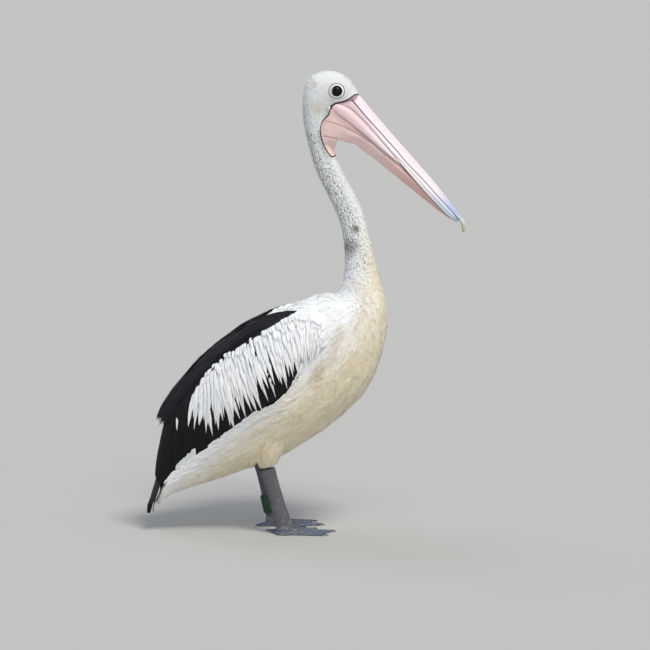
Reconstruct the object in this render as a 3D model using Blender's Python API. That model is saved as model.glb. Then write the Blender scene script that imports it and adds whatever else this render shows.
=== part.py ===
"""A standing Australian pelican at life size, as a still museum model.

Metres, +Z up. The bird looks along +X, its right side is at -Y, and the origin is on the floor
under the middle of its bounding box. Every outline is a row of named stations, each with a point
on the back, a point on the belly and a half-width, joined by smooth curves.
"""

import math

import bmesh
import bpy
from mathutils import Vector

# ---- driving dimensions -------------------------------------------------------------------------
GAP = 0.0004            # clear space between neighbouring pieces
SIDES = {"right": -1, "left": 1}

# Stations of the neck and trunk: (back x, back z, belly x, belly z, half-width).
NECK = (
    (-0.003, 0.922, 0.045, 0.928, 0.0245),
    (0.005, 0.878, 0.053, 0.890, 0.0240),
    (0.0215, 0.816, 0.0705, 0.839, 0.0240),
    (0.050, 0.758, 0.1005, 0.780, 0.0245),
    (0.074, 0.705, 0.129, 0.722, 0.0265),
    (0.0845, 0.655, 0.1455, 0.660, 0.0300),
    (0.087, 0.610, 0.1585, 0.607, 0.0360),
    (0.083, 0.570, 0.171, 0.560, 0.0470),
    (0.070, 0.537, 0.1815, 0.515, 0.0680),
)
TRUNK = (
    (0.070, 0.537, 0.1815, 0.515, 0.0680),
    (0.034, 0.539, 0.185, 0.472, 0.0920),
    (-0.024, 0.513, 0.174, 0.406, 0.1130),
    (-0.092, 0.482, 0.138, 0.317, 0.1230),
    (-0.160, 0.438, 0.054, 0.237, 0.1210),
    (-0.216, 0.390, -0.041, 0.177, 0.1060),
    (-0.262, 0.332, -0.127, 0.140, 0.0860),
    (-0.292, 0.260, -0.206, 0.1125, 0.0660),
    (-0.313, 0.180, -0.2745, 0.092, 0.0500),
    (-0.330, 0.110, -0.3135, 0.0755, 0.0370),
    (-0.340, 0.062, -0.3345, 0.057, 0.0200),
)
HEAD = (
    (-0.003, 0.922, 0.045, 0.928, 0.0245),
    (-0.006, 0.955, 0.052, 0.945, 0.0275),
    (-0.004, 0.988, 0.060, 0.952, 0.0310),
    (0.006, 1.018, 0.068, 0.954, 0.0335),
    (0.030, 1.0325, 0.076, 0.955, 0.0345),
    (0.058, 1.0355, 0.084, 0.956, 0.0340),
    (0.084, 1.0275, 0.093, 0.956, 0.0310),
    (0.104, 1.009, 0.103, 0.958, 0.0255),
    (0.1165, 0.988, 0.112, 0.962, 0.0170),
)
NECK_CUTS = (0, 3, 6, 8)        # stations where the neck is parted into three lengths
TRUNK_RINGS, TRUNK_SIDES = 19, 20
HEAD_RINGS, HEAD_SIDES = 12, 20
NECK_SIDES = 18
FULLNESS = 0.88                 # 1 gives plain ellipses, less gives squarer sections
# The feathered face ends on a line from forehead to gape and down to the throat.
FOREHEAD = Vector((0.1205, 0, 0.9825))
GAPE = Vector((0.0575, 0, 0.9600))
THROAT = Vector((0.0350, 0, 0.9150))
EYE = Vector((0.069, 0.0262, 0.9916))
EYE_RADIUS = 0.0110

# The bill lies on a slanting line. "Along" runs from the forehead to the tip, "up" square to it.
BILL_ROOT = Vector((0.120, 0, 0.9816))
BILL_ALONG = Vector((0.6407, 0, -0.7678))
BILL_UP = Vector((0.7678, 0, 0.6407))
BILL_LENGTH = 0.3560
# Stations of the bill: along, then the levels of the ridge, the groove, the gape, the foot of the
# lower jaw and the keel of the pouch, then half-widths at the ridge, the gape, the jaw's foot, the
# pouch and its keel.
BILL = (
    (-0.034, -0.0020, -0.0160, -0.0490, -0.0660, -0.0700, 0.0060, 0.0200, 0.0240, 0.0240, 0.0200),
    (-0.018, -0.0010, -0.0165, -0.0430, -0.0660, -0.0760, 0.0075, 0.0215, 0.0262, 0.0272, 0.0262),
    (0.004, 0.0000, -0.0165, -0.0350, -0.0645, -0.1165, 0.0085, 0.0218, 0.0262, 0.0278, 0.0268),
    (0.030, 0.0000, -0.0165, -0.0315, -0.0574, -0.1330, 0.0085, 0.0213, 0.0248, 0.0264, 0.0262),
    (0.052, 0.0000, -0.0165, -0.0303, -0.0520, -0.1180, 0.0080, 0.0206, 0.0230, 0.0215, 0.0130),
    (0.078, 0.0003, -0.0160, -0.0293, -0.0460, -0.0780, 0.0075, 0.0198, 0.0213, 0.0180, 0.0060),
    (0.120, 0.0010, -0.0150, -0.0262, -0.0390, -0.0658, 0.0070, 0.0188, 0.0194, 0.0162, 0.0050),
    (0.178, 0.0030, -0.0125, -0.0218, -0.0292, -0.0545, 0.0065, 0.0180, 0.0178, 0.0150, 0.0050),
    (0.250, 0.0050, -0.0080, -0.0170, -0.0228, -0.0400, 0.0060, 0.0184, 0.0172, 0.0145, 0.0050),
    (0.310, 0.0040, -0.0045, -0.0130, -0.0180, -0.0285, 0.0055, 0.0178, 0.0155, 0.0130, 0.0050),
    (0.340, 0.0028, -0.0030, -0.0095, -0.0145, -0.0200, 0.0050, 0.0140, 0.0115, 0.0095, 0.0040),
    (0.356, 0.0020, -0.0020, -0.0070, -0.0120, -0.0140, 0.0040, 0.0085, 0.0060, 0.0050, 0.0030),
)

# The hooked nail: how far past the bill, level, half-height, half-width, tilt in degrees.
NAIL = (
    (0.0, -0.0025, 0.0044, 0.0080, 0),
    (0.006, -0.0030, 0.0046, 0.0068, 6),
    (0.012, -0.0055, 0.0044, 0.0052, 24),
    (0.0165, -0.0100, 0.0034, 0.0036, 46),
    (0.0185, -0.0145, 0.0014, 0.0014, 62),
)
BILL_THROAT = 5                 # the station where the deep part of the pouch ends

# Stations of the folded wing, front to rear, each an upright chord:
# (top x, top z, foot x, foot z, y of the top, y of the foot, bulge outwards, thickness).
WING = (
    (0.047, 0.482, 0.045, 0.460, 0.1060, 0.1135, 0.005, 0.020),
    (0.024, 0.516, 0.019, 0.412, 0.076, 0.1235, 0.022, 0.050),
    (-0.018, 0.515, -0.022, 0.362, 0.055, 0.1255, 0.040, 0.070),
    (-0.060, 0.504, -0.063, 0.316, 0.042, 0.120, 0.052, 0.080),
    (-0.102, 0.485, -0.106, 0.293, 0.034, 0.1135, 0.054, 0.080),
    (-0.150, 0.456, -0.157, 0.259, 0.026, 0.100, 0.053, 0.075),
    (-0.200, 0.421, -0.210, 0.222, 0.018, 0.082, 0.050, 0.065),
    (-0.250, 0.375, -0.262, 0.179, 0.011, 0.064, 0.044, 0.050),
    (-0.296, 0.322, -0.300, 0.146, 0.007, 0.048, 0.034, 0.034),
    (-0.326, 0.280, -0.325, 0.116, 0.005, 0.038, 0.024, 0.022),
    (-0.339, 0.248, -0.341, 0.110, 0.004, 0.028, 0.010, 0.012),
)
# At each of those stations, how far down the chord the black strip along the top ends, and how
# far down the white plumes reach.
SCAPULAR_EDGE = (0.0, 0.0, 0.0, 0.04, 0.13, 0.14, 0.17, 0.22, 0.28, 0.33, 0.36)
PLUME_REACH = (0.92, 0.94, 0.87, 0.88, 0.93, 0.95, 0.90, 0.62, 0.40, 0.40, 0.40)
SCAPULAR_SPAN = (2.6, 9.9)      # first and last station of the black strip
PLUME_SPAN = (0.15, 7.15)       # and of the white plumes
LAYER_SPACE = 0.02              # share of the chord left clear between the two
LAYER_LIFT = 0.0035             # from the wing's face to the layers over it
PLUME_THICKNESS = 0.0035
SCAPULAR_THICKNESS = 0.0045
COVERT_PLUMES = 13              # hanging white plumes along the wing
PLUME_NOTCH = 0.11              # share of the chord between a plume's tip and the notch beside it
SCAPULAR_FEATHERS = 9
SCAPULAR_NOTCH = 0.03

# The tail is a flat fan: root and tip in side view, half-widths there, thicknesses there.
TAIL_ROOT = Vector((-0.298, 0, 0.2060))
TAIL_TIP = Vector((-0.3525, 0, 0.0360))
TAIL_HALF_WIDTHS = (0.030, 0.052)
TAIL_THICKNESSES = (0.012, 0.0045)
TAIL_FEATHERS = 9
TAIL_NOTCH = 0.006
TAIL_ARCH = 0.012

# Legs: the right one stands a little ahead of the left.
ANKLE_HEIGHT = 0.148
FOOT_TOP = 0.0165
# Side: the ankle's x and distance from the middle plane, then the same of the foot.
STANCE = {
    "right": ((-0.087, 0.055), (-0.0485, 0.056)),
    "left": ((-0.103, 0.055), (-0.0735, 0.056)),
}
TOE_IN = 8                      # degrees that each foot turns in
# Toes: name, angle inwards from straight ahead in degrees, length to the claw, half-width at root.
TOES = (
    ("outer", -21, 0.090, 0.0062),
    ("middle", 2, 0.106, 0.0066),
    ("inner", 27, 0.080, 0.0058),
    ("hind", 134, 0.043, 0.0050),
)
TOE_HEIGHTS = (0.0120, 0.0055)  # at the ankle and at the claw
WEB_HEIGHT = 0.0032
SCALLOP = 0.13                  # how far a web's edge is hollowed per 24 degrees between toes
SCALLOP_MOST = 0.22
HUB = (0.0195, 0.0165)          # half-length and half-width of the ankle's base
HUB_SPREAD = 0.17               # how far a toe may fill the gap to the next, per metre out
HEEL_PAD = 0.0030
KNUCKLE_HEIGHT = 0.0135
SHANK_FOOT = (0.0178, 0.0128)   # half-depth and half-width of the shank where it meets the foot
# The shank: share of its height, half-depth, half-width.
SHANK = (
    (0.0, *SHANK_FOOT),
    (0.10, 0.0165, 0.0108),
    (0.30, 0.0150, 0.0092),
    (0.60, 0.0145, 0.0090),
    (0.82, 0.0150, 0.0100),
    (0.93, 0.0170, 0.0122),
    (1.0, 0.0165, 0.0120),
)
# The thigh: height over the ankle, half-depth, half-width, how far ahead of the ankle.
THIGH = (
    (0.0, 0.0178, 0.0140, 0.0),
    (0.015, 0.0215, 0.0180, 0.003),
    (0.035, 0.0290, 0.0240, 0.009),
    (0.060, 0.0340, 0.0280, 0.016),
)
LEG_LEAN = 0.25                 # how far, in radians, the leg's joints tip forwards
CLAW_LENGTH = 0.012
BAND_SIDES = 16
BAND_OUTSIDE = (0.0205, 0.0150)
BAND_INSIDE = (0.0183, 0.0128)
BAND_HEIGHTS = (0.031, 0.070)   # leg band on the left leg, foot and top

COLOURS = {
    "white_feather": ((0.83, 0.83, 0.80), 0.85),
    "cream_feather": ((0.76, 0.70, 0.55), 0.85),
    "black_feather": ((0.02, 0.02, 0.023), 0.60),
    "pink_bill": ((0.80, 0.62, 0.62), 0.40),
    "pink_pouch": ((0.72, 0.52, 0.47), 0.45),
    "pale_nail": ((0.66, 0.68, 0.60), 0.35),
    "grey_scute": ((0.16, 0.18, 0.22), 0.55),
    "dark_claw": ((0.05, 0.05, 0.05), 0.40),
    "dark_eye": ((0.015, 0.010, 0.008), 0.05),
    "green_band": ((0.01, 0.12, 0.03), 0.35),
}


# ---- small tools --------------------------------------------------------------------------------
def clear_scene():
    for obj in list(bpy.data.objects):
        bpy.data.objects.remove(obj, do_unlink=True)


def material(name):
    """A Principled material, made once and then shared."""
    found = bpy.data.materials.get(name)
    if found:
        return found
    colour, roughness = COLOURS[name]
    made = bpy.data.materials.new(name)
    made.use_nodes = True
    shader = made.node_tree.nodes["Principled BSDF"]
    shader.inputs["Base Color"].default_value = (*colour, 1)
    shader.inputs["Roughness"].default_value = roughness
    shader.inputs["Metallic"].default_value = 0.0
    return made


def spline(rows, t):
    """The row at t, from 0 to len(rows) - 1, on a Catmull-Rom curve through all the rows."""
    i = min(int(t), len(rows) - 2)
    f = t - i
    before = rows[max(i - 1, 0)]
    after = rows[min(i + 2, len(rows) - 1)]
    return tuple(
        0.5 * ((2 * b) + (c - a) * f + (2 * a - 5 * b + 4 * c - d) * f * f
               + (3 * b - a - 3 * c + d) * f ** 3)
        for a, b, c, d in zip(before, rows[i], rows[i + 1], after)
    )


def at_station(values, t):
    """A single value at t along a row of values, by straight lines."""
    i = min(int(t), len(values) - 2)
    return values[i] + (values[i + 1] - values[i]) * (t - i)


def steps(first, last, count):
    """count + 1 even values from first to last."""
    return [first + (last - first) * i / count for i in range(count + 1)]


def object_of(bm, name, look):
    """Makes the bmesh an object of triangles, split alike on like shapes, with normals outwards."""
    bm.normal_update()
    bmesh.ops.triangulate(bm, faces=bm.faces[:], quad_method="FIXED", ngon_method="BEAUTY")
    bmesh.ops.recalc_face_normals(bm, faces=bm.faces)
    if bm.calc_volume(signed=True) < 0:
        bmesh.ops.reverse_faces(bm, faces=bm.faces)
    mesh = bpy.data.meshes.new(name)
    bm.to_mesh(mesh)
    bm.free()
    mesh.shade_smooth()
    mesh.set_sharp_from_angle(angle=math.radians(40))
    mesh.materials.append(material(look))
    obj = bpy.data.objects.new(name, mesh)
    bpy.context.scene.collection.objects.link(obj)
    return obj


def loft(rings):
    """A closed bmesh, extruded from each ring of points to the next. All rings are equally long."""
    bm = bmesh.new()
    start = [bm.verts.new(point) for point in rings[0]]
    face = bm.faces.new(start)
    for ring in rings[1:]:
        face = bmesh.ops.extrude_discrete_faces(bm, faces=[face])["faces"][0]
        for vert, point in zip(face.verts, ring):
            vert.co = point
    bm.faces.new(start[::-1])
    return bm


def bent_slab(columns, rows, place):
    """A flat slab of faces, one unit each way, with every corner moved to place(x, y, level)."""
    bm = bmesh.new()
    bmesh.ops.create_grid(bm, x_segments=columns, y_segments=rows, size=0.5)
    grown = bmesh.ops.extrude_face_region(bm, geom=bm.faces[:])["geom"]
    upper = [part for part in grown if isinstance(part, bmesh.types.BMVert)]
    bmesh.ops.translate(bm, verts=upper, vec=(0, 0, 1))
    for vert in bm.verts:
        vert.co = place(vert.co.x + 0.5, vert.co.y + 0.5, vert.co.z)
    return bm


def body_ring(station, count, grow=0.0):
    """An oval ring between a back point and a belly point, grown outwards by grow."""
    back = Vector((station[0], 0, station[1]))
    belly = Vector((station[2], 0, station[3]))
    middle, half = (back + belly) / 2, (back - belly) / 2
    half *= (half.length + grow) / half.length
    width = station[4] + grow
    ring = []
    for i in range(count):
        a = 2 * math.pi * i / count
        up, side = fuller(math.cos(a)), fuller(math.sin(a))
        ring.append(middle + half * up + Vector((0, width * side, 0)))
    return ring


def fuller(value):
    """Squares an oval up a little, so that it has broader shoulders than an ellipse."""
    return math.copysign(abs(value) ** FULLNESS, value)


def body_length(stations, first, last, rings, count, grow=0.0):
    """A length of the body between two stations, grown on all sides by grow."""
    loops = [body_ring(spline(stations, t), count, grow) for t in steps(first, last, rings)]
    for end, inner in ((0, 1), (-1, -2)):
        beyond = (centre_of(loops[end]) - centre_of(loops[inner])).normalized() * grow
        loops[end] = [point + beyond for point in loops[end]]
    return loft(loops)


def centre_of(points):
    return sum(points, Vector()) / len(points)


def slide(bm, vector):
    """Moves the whole bmesh and hands it back."""
    bmesh.ops.translate(bm, verts=bm.verts, vec=vector)
    return bm


def cut(obj, cutter):
    """Cuts obj by a helper object."""
    cutter.hide_render = True
    cutter.display_type = "WIRE"
    boolean = obj.modifiers.new(cutter.name, "BOOLEAN")
    boolean.operation = "DIFFERENCE"
    boolean.object = cutter
    boolean.solver = "EXACT"


# ---- trunk, neck and head -----------------------------------------------------------------------
def bill_wedge(name, shift=0.0):
    """A wedge in front of the face line, shifted forwards and down away from it."""
    corners = (FOREHEAD, GAPE, THROAT, THROAT + Vector((0.2, 0, 0)), FOREHEAD + Vector((0.1, 0, 0.035)))
    outline = [(p.x + shift, p.z - shift) for p in corners]
    rings = [[Vector((x, y, z)) for x, z in outline] for y in (-0.06, 0.06)]
    return object_of(loft(rings), name, "pink_bill")


def trunk_shape(name, grow=0.0):
    bm = body_length(TRUNK, 0, len(TRUNK) - 1, TRUNK_RINGS, TRUNK_SIDES, grow)
    return object_of(bm, name, "white_feather")


def neck_shape(name, first, last, lift, grow=0.0):
    bm = body_length(NECK, first, last, 2 * (last - first), NECK_SIDES, grow)
    return object_of(slide(bm, Vector((0, 0, lift))), name, "white_feather")


def build_neck():
    """Three lengths of neck, each a little higher than the one below to leave a gap."""
    for k, name in enumerate(("neck_lower", "neck_middle", "neck_upper")):
        neck_shape(name, NECK_CUTS[-2 - k], NECK_CUTS[-1 - k], GAP * (k + 1))


def head_shape(name, grow=0.0):
    """The head, whole to the tip of the face."""
    bm = body_length(HEAD, 0, len(HEAD) - 1, HEAD_RINGS, HEAD_SIDES, grow)
    return object_of(slide(bm, Vector((0, 0, GAP * len(NECK_CUTS)))), name, "white_feather")


def build_head():
    """The feathered head with a socket and an eye on each side."""
    head = head_shape("head")
    cut(head, bill_wedge("cutter_wedge"))
    for side, sign in SIDES.items():
        cut(head, eyeball("cutter_eye_" + side, sign, EYE_RADIUS + GAP))
        eyeball("eye_" + side, sign, EYE_RADIUS)


def eyeball(name, sign, radius):
    bm = bmesh.new()
    bmesh.ops.create_icosphere(bm, subdivisions=2, radius=radius)
    slide(bm, Vector((EYE.x, sign * EYE.y, EYE.z)))
    return object_of(bm, name, "dark_eye")


# ---- bill ---------------------------------------------------------------------------------------
def bill_point(along, level, y):
    return BILL_ROOT + BILL_ALONG * along + BILL_UP * level + Vector((0, y, 0))


def upper_ring(station):
    """Ridged section of the upper jaw, with a groove on each side of the ridge."""
    along, ridge, groove, gape, _, _, ridge_half, gape_half, _, _, _ = station
    half = (
        (0.0, ridge),
        (ridge_half * 0.7, ridge - 0.0006),
        (ridge_half, ridge - (ridge - groove) * 0.55),
        (ridge_half * 0.5 + gape_half * 0.5, groove - 0.0004),
        (gape_half * 0.93, groove + (gape - groove) * 0.35),
        (gape_half, gape + 0.0018),
        (gape_half * 0.9, gape),
    )
    return mirrored_ring(along, half)


def jaw_ring(station):
    """Rounded section of the lower jaw, under the gape."""
    along, _, _, gape, foot, _, _, _, jaw_half, _, _ = station
    top = gape - GAP
    half = (
        (0.0, top),
        (jaw_half * 0.84, top),
        (jaw_half, top + (foot - top) * 0.35),
        (jaw_half * 0.98, top + (foot - top) * 0.75),
        (jaw_half * 0.86, foot),
        (0.0, foot),
    )
    return mirrored_ring(along, half)


def pouch_ring(station):
    """Section of the shrunken pouch, from the foot of the lower jaw down to its keel."""
    along, _, _, _, jaw, foot, _, _, _, pouch_half, keel_half = station
    top = jaw - GAP
    half = (
        (0.0, top),
        (pouch_half * 0.94, top),
        (pouch_half, top + (foot - top) * 0.30),
        (pouch_half * 0.5 + keel_half * 0.5, top + (foot - top) * 0.72),
        (keel_half * 0.9, foot),
        (0.0, foot),
    )
    return mirrored_ring(along, half)


def mirrored_ring(along, half):
    """A ring from its +Y half, which starts and ends on the middle plane or folds across it."""
    right = [bill_point(along, level, y) for y, level in half]
    left = [bill_point(along, level, -y) for y, level in reversed(half) if y > 0]
    return right + left


def bill_length(ring, last):
    """A length of the bill from its root, with more rings at the throat than along the jaws."""
    spots = steps(0, BILL_THROAT, 2 * BILL_THROAT) + list(range(BILL_THROAT + 1, last + 1))
    return loft([ring(spline(BILL, t)) for t in spots])


def build_bill():
    """Upper and lower jaw and pouch, cut to fit the face and the throat."""
    last = len(BILL) - 1
    face = head_shape("cutter_head", GAP)
    cut(face, bill_wedge("cutter_wedge_bill", GAP))
    neck = neck_shape("cutter_neck", 0, NECK_CUTS[2], 2 * GAP, 3 * GAP)
    upper = object_of(bill_length(upper_ring, last), "bill_upper", "pink_bill")
    lower = object_of(bill_length(jaw_ring, last), "bill_lower", "pink_bill")
    pouch = object_of(bill_length(pouch_ring, last - 1), "pouch", "pink_pouch")
    for piece in (upper, lower, pouch):
        cut(piece, face)
    cut(pouch, neck)
    build_nail()


def build_nail():
    """The hooked tip of the upper jaw."""
    rings = []
    for ahead, level, height, width, tilt in NAIL:
        along = BILL_LENGTH + GAP + ahead
        lean = math.radians(tilt)
        ring = []
        for i in range(10):
            a = 2 * math.pi * i / 10
            up = height * math.cos(a)
            ring.append(bill_point(
                along + up * math.sin(lean), level + up * math.cos(lean), width * math.sin(a)))
        rings.append(ring)
    object_of(loft(rings), "bill_nail", "pale_nail")


# ---- wings --------------------------------------------------------------------------------------
def wing_point(t, down, lift, sign):
    """A point over the wing.

    t counts stations, down runs 0 to 1 from the top to the foot of the chord, and lift is how far
    the point stands out from the wing's outer face.
    """
    x0, z0, x1, z1, y0, y1, bulge, _ = spline(WING, t)
    swell = max(0.0, math.sin(math.pi * min(max(down, 0), 1))) ** 0.8
    y = y0 + (y1 - y0) * down + bulge * swell + lift
    over = 0.8 * max(0.0, 0.30 - down) / 0.30     # near the top the face turns upwards
    return Vector((x0 + (x1 - x0) * down, sign * y, z0 + (z1 - z0) * down + lift * over))


def wing_ring(t, sign):
    """A chord's section: the outer face from top to foot, then the inner face back up."""
    thickness = spline(WING, t)[7]
    downs = steps(0, 1, 8)
    outer = [wing_point(t, d, 0.0, sign) for d in downs]
    inner = []
    for d in reversed(downs[1:-1]):
        thin = thickness * math.sin(math.pi * d) ** 0.5
        inner.append(wing_point(t, d, -thin, sign))
    return outer + inner


def build_wing(side, sign, trunk_helper, tail_helper):
    """The folded wing with its black flight feathers, laid on the trunk."""
    rings = [wing_ring(t, sign) for t in steps(0, len(WING) - 1, 17)]
    wing = object_of(loft(rings), "wing_" + side, "black_feather")
    cut(wing, trunk_helper)
    cut(wing, tail_helper)


def layer(columns, rows, place, thickness, sign):
    """A thin closed layer over the wing. place gives (t, down) for a column and row share."""
    return bent_slab(columns, rows, lambda across, share, level: wing_point(
        *place(across, share), LAYER_LIFT + thickness * level, sign))


def build_coverts(side, sign):
    """The white panel of hanging plumes, with a pointed tip to each plume."""
    columns = 2 * COVERT_PLUMES

    def place(across, share):
        t = PLUME_SPAN[0] + (PLUME_SPAN[1] - PLUME_SPAN[0]) * across
        top = at_station(SCAPULAR_EDGE, t) + LAYER_SPACE
        foot = at_station(PLUME_REACH, t)
        if round(across * columns) % 2 == 0:
            foot -= PLUME_NOTCH
        return t, top + (foot - top) * share

    object_of(layer(columns, 5, place, PLUME_THICKNESS, sign), "coverts_" + side, "white_feather")


def build_scapulars(side, sign):
    """The black strip of long feathers along the top of the wing."""
    columns = 2 * SCAPULAR_FEATHERS

    def place(across, share):
        t = SCAPULAR_SPAN[0] + (SCAPULAR_SPAN[1] - SCAPULAR_SPAN[0]) * across
        foot = at_station(SCAPULAR_EDGE, t)
        if round(across * columns) % 2 == 0:
            foot = max(foot - SCAPULAR_NOTCH, 0.01)
        return t, foot * share

    bm = layer(columns, 2, place, SCAPULAR_THICKNESS, sign)
    object_of(bm, "scapulars_" + side, "black_feather")


# ---- tail ---------------------------------------------------------------------------------------
def tail_blades(grow):
    """The fan of tail feathers as one plate with a rounded, notched end."""
    along = TAIL_TIP - TAIL_ROOT
    length = along.length + grow
    along.normalize()
    out = Vector((along.z, 0, -along.x))
    columns = 2 * TAIL_FEATHERS

    def place(across, share, side):
        """side is 0 on the belly's face of the fan and 1 on the back's."""
        column = round(across * columns)
        wide = 2 * across - 1
        reach = length * (1 - 0.10 * wide * wide)
        if column % 2 == 0 and 0 < column < columns:
            reach -= TAIL_NOTCH
        half = TAIL_HALF_WIDTHS[0] + (TAIL_HALF_WIDTHS[1] - TAIL_HALF_WIDTHS[0]) * share
        deep = TAIL_THICKNESSES[0] + (TAIL_THICKNESSES[1] - TAIL_THICKNESSES[0]) * share
        arch = TAIL_ARCH * (0.5 - wide * wide)
        level = (2 * side - 1) * (deep / 2 + grow) + arch
        return TAIL_ROOT + along * (reach * share) + out * level + Vector((0, wide * (half + grow), 0))

    return bent_slab(columns, 2, place)


# ---- legs and feet ------------------------------------------------------------------------------
def leg_ring(x, y, z, half_x, half_y, lean, count=12):
    """An oval ring of the leg, leaning with it in side view."""
    ring = []
    for i in range(count):
        a = 2 * math.pi * i / count
        ahead = half_x * math.cos(a)
        ring.append(Vector((x + ahead, y + half_y * math.sin(a), z + ahead * math.sin(lean))))
    return ring


def shank_centre(side, sign, share):
    """The middle of the shank, x and y, for a share of its height."""
    (ankle_x, ankle_y), (foot_x, foot_y) = STANCE[side]
    return foot_x + (ankle_x - foot_x) * share, sign * (foot_y + (ankle_y - foot_y) * share)


def build_shank(side, sign):
    """The bare shank, flat where it meets the foot."""
    rings = []
    for t in steps(0, len(SHANK) - 1, 9):
        share, half_x, half_y = spline(SHANK, t)
        x, y = shank_centre(side, sign, share)
        z = FOOT_TOP + GAP + (ANKLE_HEIGHT - FOOT_TOP) * share
        rings.append(leg_ring(x, y, z, half_x, half_y, LEG_LEAN if share > 0.02 else 0.0))
    object_of(loft(rings), "shank_" + side, "grey_scute")


def build_thigh(side, sign, trunk_helper):
    """The feathered thigh between the belly and the shank."""
    x, y = shank_centre(side, sign, 1)
    rings = []
    for t in steps(0, len(THIGH) - 1, 5):
        rise, half_x, half_y, ahead = spline(THIGH, t)
        z = ANKLE_HEIGHT + 4 * GAP + rise
        rings.append(leg_ring(x + ahead, y + sign * 0.1 * rise, z, half_x, half_y, LEG_LEAN, 16))
    cut(object_of(loft(rings), "thigh_" + side, "cream_feather"), trunk_helper)


def toe_direction(angle, sign):
    """Unit vector of a toe on the floor, turned inwards by its own angle and the foot's."""
    turn = math.radians(angle + TOE_IN)
    return Vector((math.cos(turn), -sign * math.sin(turn), 0))


def hub_radius(way):
    """How far the ankle's oval base reaches in a flat direction."""
    return 1 / math.hypot(way.x / HUB[0], way.y / HUB[1])


def foot_columns(sign):
    """Lines that run out from the ankle over toes and webs, clockwise on the right foot.

    Each is a function that gives, for a share of the way out, a flat offset and a height.
    """
    columns = []
    angles = [angle for _, angle, _, _ in TOES]
    ways = [toe_direction(angle, sign) for angle in angles]

    def on_toe(i, u):
        _, _, length, half = TOES[i]
        across = Vector((ways[i].y, -ways[i].x, 0)) * sign
        tall = TOE_HEIGHTS[0] if i < 3 else TOE_HEIGHTS[0] * 0.8

        def line(share):
            inner = hub_radius(ways[i])
            out = inner + (length * (1 - 0.04 * u * u) - inner) * share
            wide = min(half * (1 - 0.35 * share), HUB_SPREAD * out)
            ridge = tall + (TOE_HEIGHTS[1] - tall) * share
            low = WEB_HEIGHT * (1 - 0.3 * share)
            height = low + (ridge - low) * (1 - u * u)
            return ways[i] * out + across * (wide * u), height

        return line

    def on_web(i, f):
        first, second = on_toe(i, 1), on_toe(i + 1, -1)
        scallop = SCALLOP * (angles[i + 1] - angles[i]) / 24

        def line(share):
            a, b = first(share)[0], second(share)[0]
            pull = 1 - min(scallop, SCALLOP_MOST) * math.sin(math.pi * f) * share
            return a.lerp(b, f) * pull, WEB_HEIGHT * (1 - 0.3 * share)

        return line

    def on_heel(angle):
        way = toe_direction(angle, sign)

        def line(share):
            return way * (hub_radius(way) + HEEL_PAD * share), WEB_HEIGHT * (1.6 - 0.6 * share)

        return line

    for i in range(len(TOES)):
        columns += [on_toe(i, u) for u in (-1, -0.55, 0, 0.55, 1)]
        if i < len(TOES) - 1:
            columns += [on_web(i, f) for f in (0.3, 0.7)]
    columns += [on_heel(angle) for angle in (168, 198, 230, 268, 308)]
    return columns


def build_foot(side, sign):
    """The webbed foot: four toes joined by webs, flat underneath, with a claw on each toe."""
    _, (foot_x, foot_y) = STANCE[side]
    hub = Vector((foot_x, sign * foot_y, 0))
    columns = foot_columns(sign)
    up = Vector((0, 0, 1))
    rings = [[hub + line(1)[0] for line in columns]]
    for share in (1.0, 0.85, 0.5, 0.22, 0.08, 0.0):
        knuckle = KNUCKLE_HEIGHT * (1 - share / 0.25) ** 2 if share < 0.25 else 0.0
        spots = [line(share) for line in columns]
        rings.append([hub + flat + up * max(height, knuckle) for flat, height in spots])
    top = []
    for flat, _ in spots:
        way = flat.normalized()
        top.append(hub + Vector((way.x * SHANK_FOOT[0], way.y * SHANK_FOOT[1], FOOT_TOP)))
    rings.append(top)
    object_of(loft(rings), "foot_" + side, "grey_scute")
    for name, angle, length, half in TOES:
        way = toe_direction(angle, sign)
        build_claw(f"claw_{name}_{side}", hub + way * (length + GAP), way, half)


def build_claw(name, start, direction, half):
    """A short blunt claw, curving down to the floor."""
    across = Vector((-direction.y, direction.x, 0))
    # (share along, height of the middle, half-height, share of the toe's half-width)
    curve = ((0.0, 0.0034, 0.0024, 0.42), (0.4, 0.0034, 0.0021, 0.36), (1.0, 0.0014, 0.0008, 0.12))
    rings = []
    for share, middle, height, width in curve:
        point = start + direction * CLAW_LENGTH * share
        ring = []
        for i in range(6):
            a = 2 * math.pi * i / 6
            ring.append(point + across * (half * width * math.sin(a))
                        + Vector((0, 0, middle + height * math.cos(a))))
        rings.append(ring)
    object_of(loft(rings), name, "dark_claw")


def band_wall(name, halves, overshoot):
    """An upright tube's filling round the left shank, past the band's ends by overshoot."""
    rings = []
    for z in (BAND_HEIGHTS[0] - overshoot, BAND_HEIGHTS[1] + overshoot):
        x, y = shank_centre("left", 1, (z - FOOT_TOP) / (ANKLE_HEIGHT - FOOT_TOP))
        rings.append(leg_ring(x, y, z, *halves, LEG_LEAN, BAND_SIDES))
    return object_of(loft(rings), name, "green_band")


def build_band():
    """A plastic ring round the left shank, open enough to slide."""
    band = band_wall("leg_band", BAND_OUTSIDE, 0.0)
    cut(band, band_wall("cutter_band", BAND_INSIDE, 0.005))


# ---- the bird -----------------------------------------------------------------------------------
def build_bird():
    clear_scene()
    trunk_helper = trunk_shape("cutter_trunk", GAP)
    tail_helper = object_of(tail_blades(GAP), "cutter_tail", "black_feather")
    trunk_shape("trunk")
    build_neck()
    build_head()
    build_bill()
    tail = object_of(tail_blades(0.0), "tail", "black_feather")
    cut(tail, trunk_helper)
    for side, sign in SIDES.items():
        build_wing(side, sign, trunk_helper, tail_helper)
        build_coverts(side, sign)
        build_scapulars(side, sign)
        build_shank(side, sign)
        build_thigh(side, sign, trunk_helper)
        build_foot(side, sign)
    build_band()


build_bird()
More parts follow.
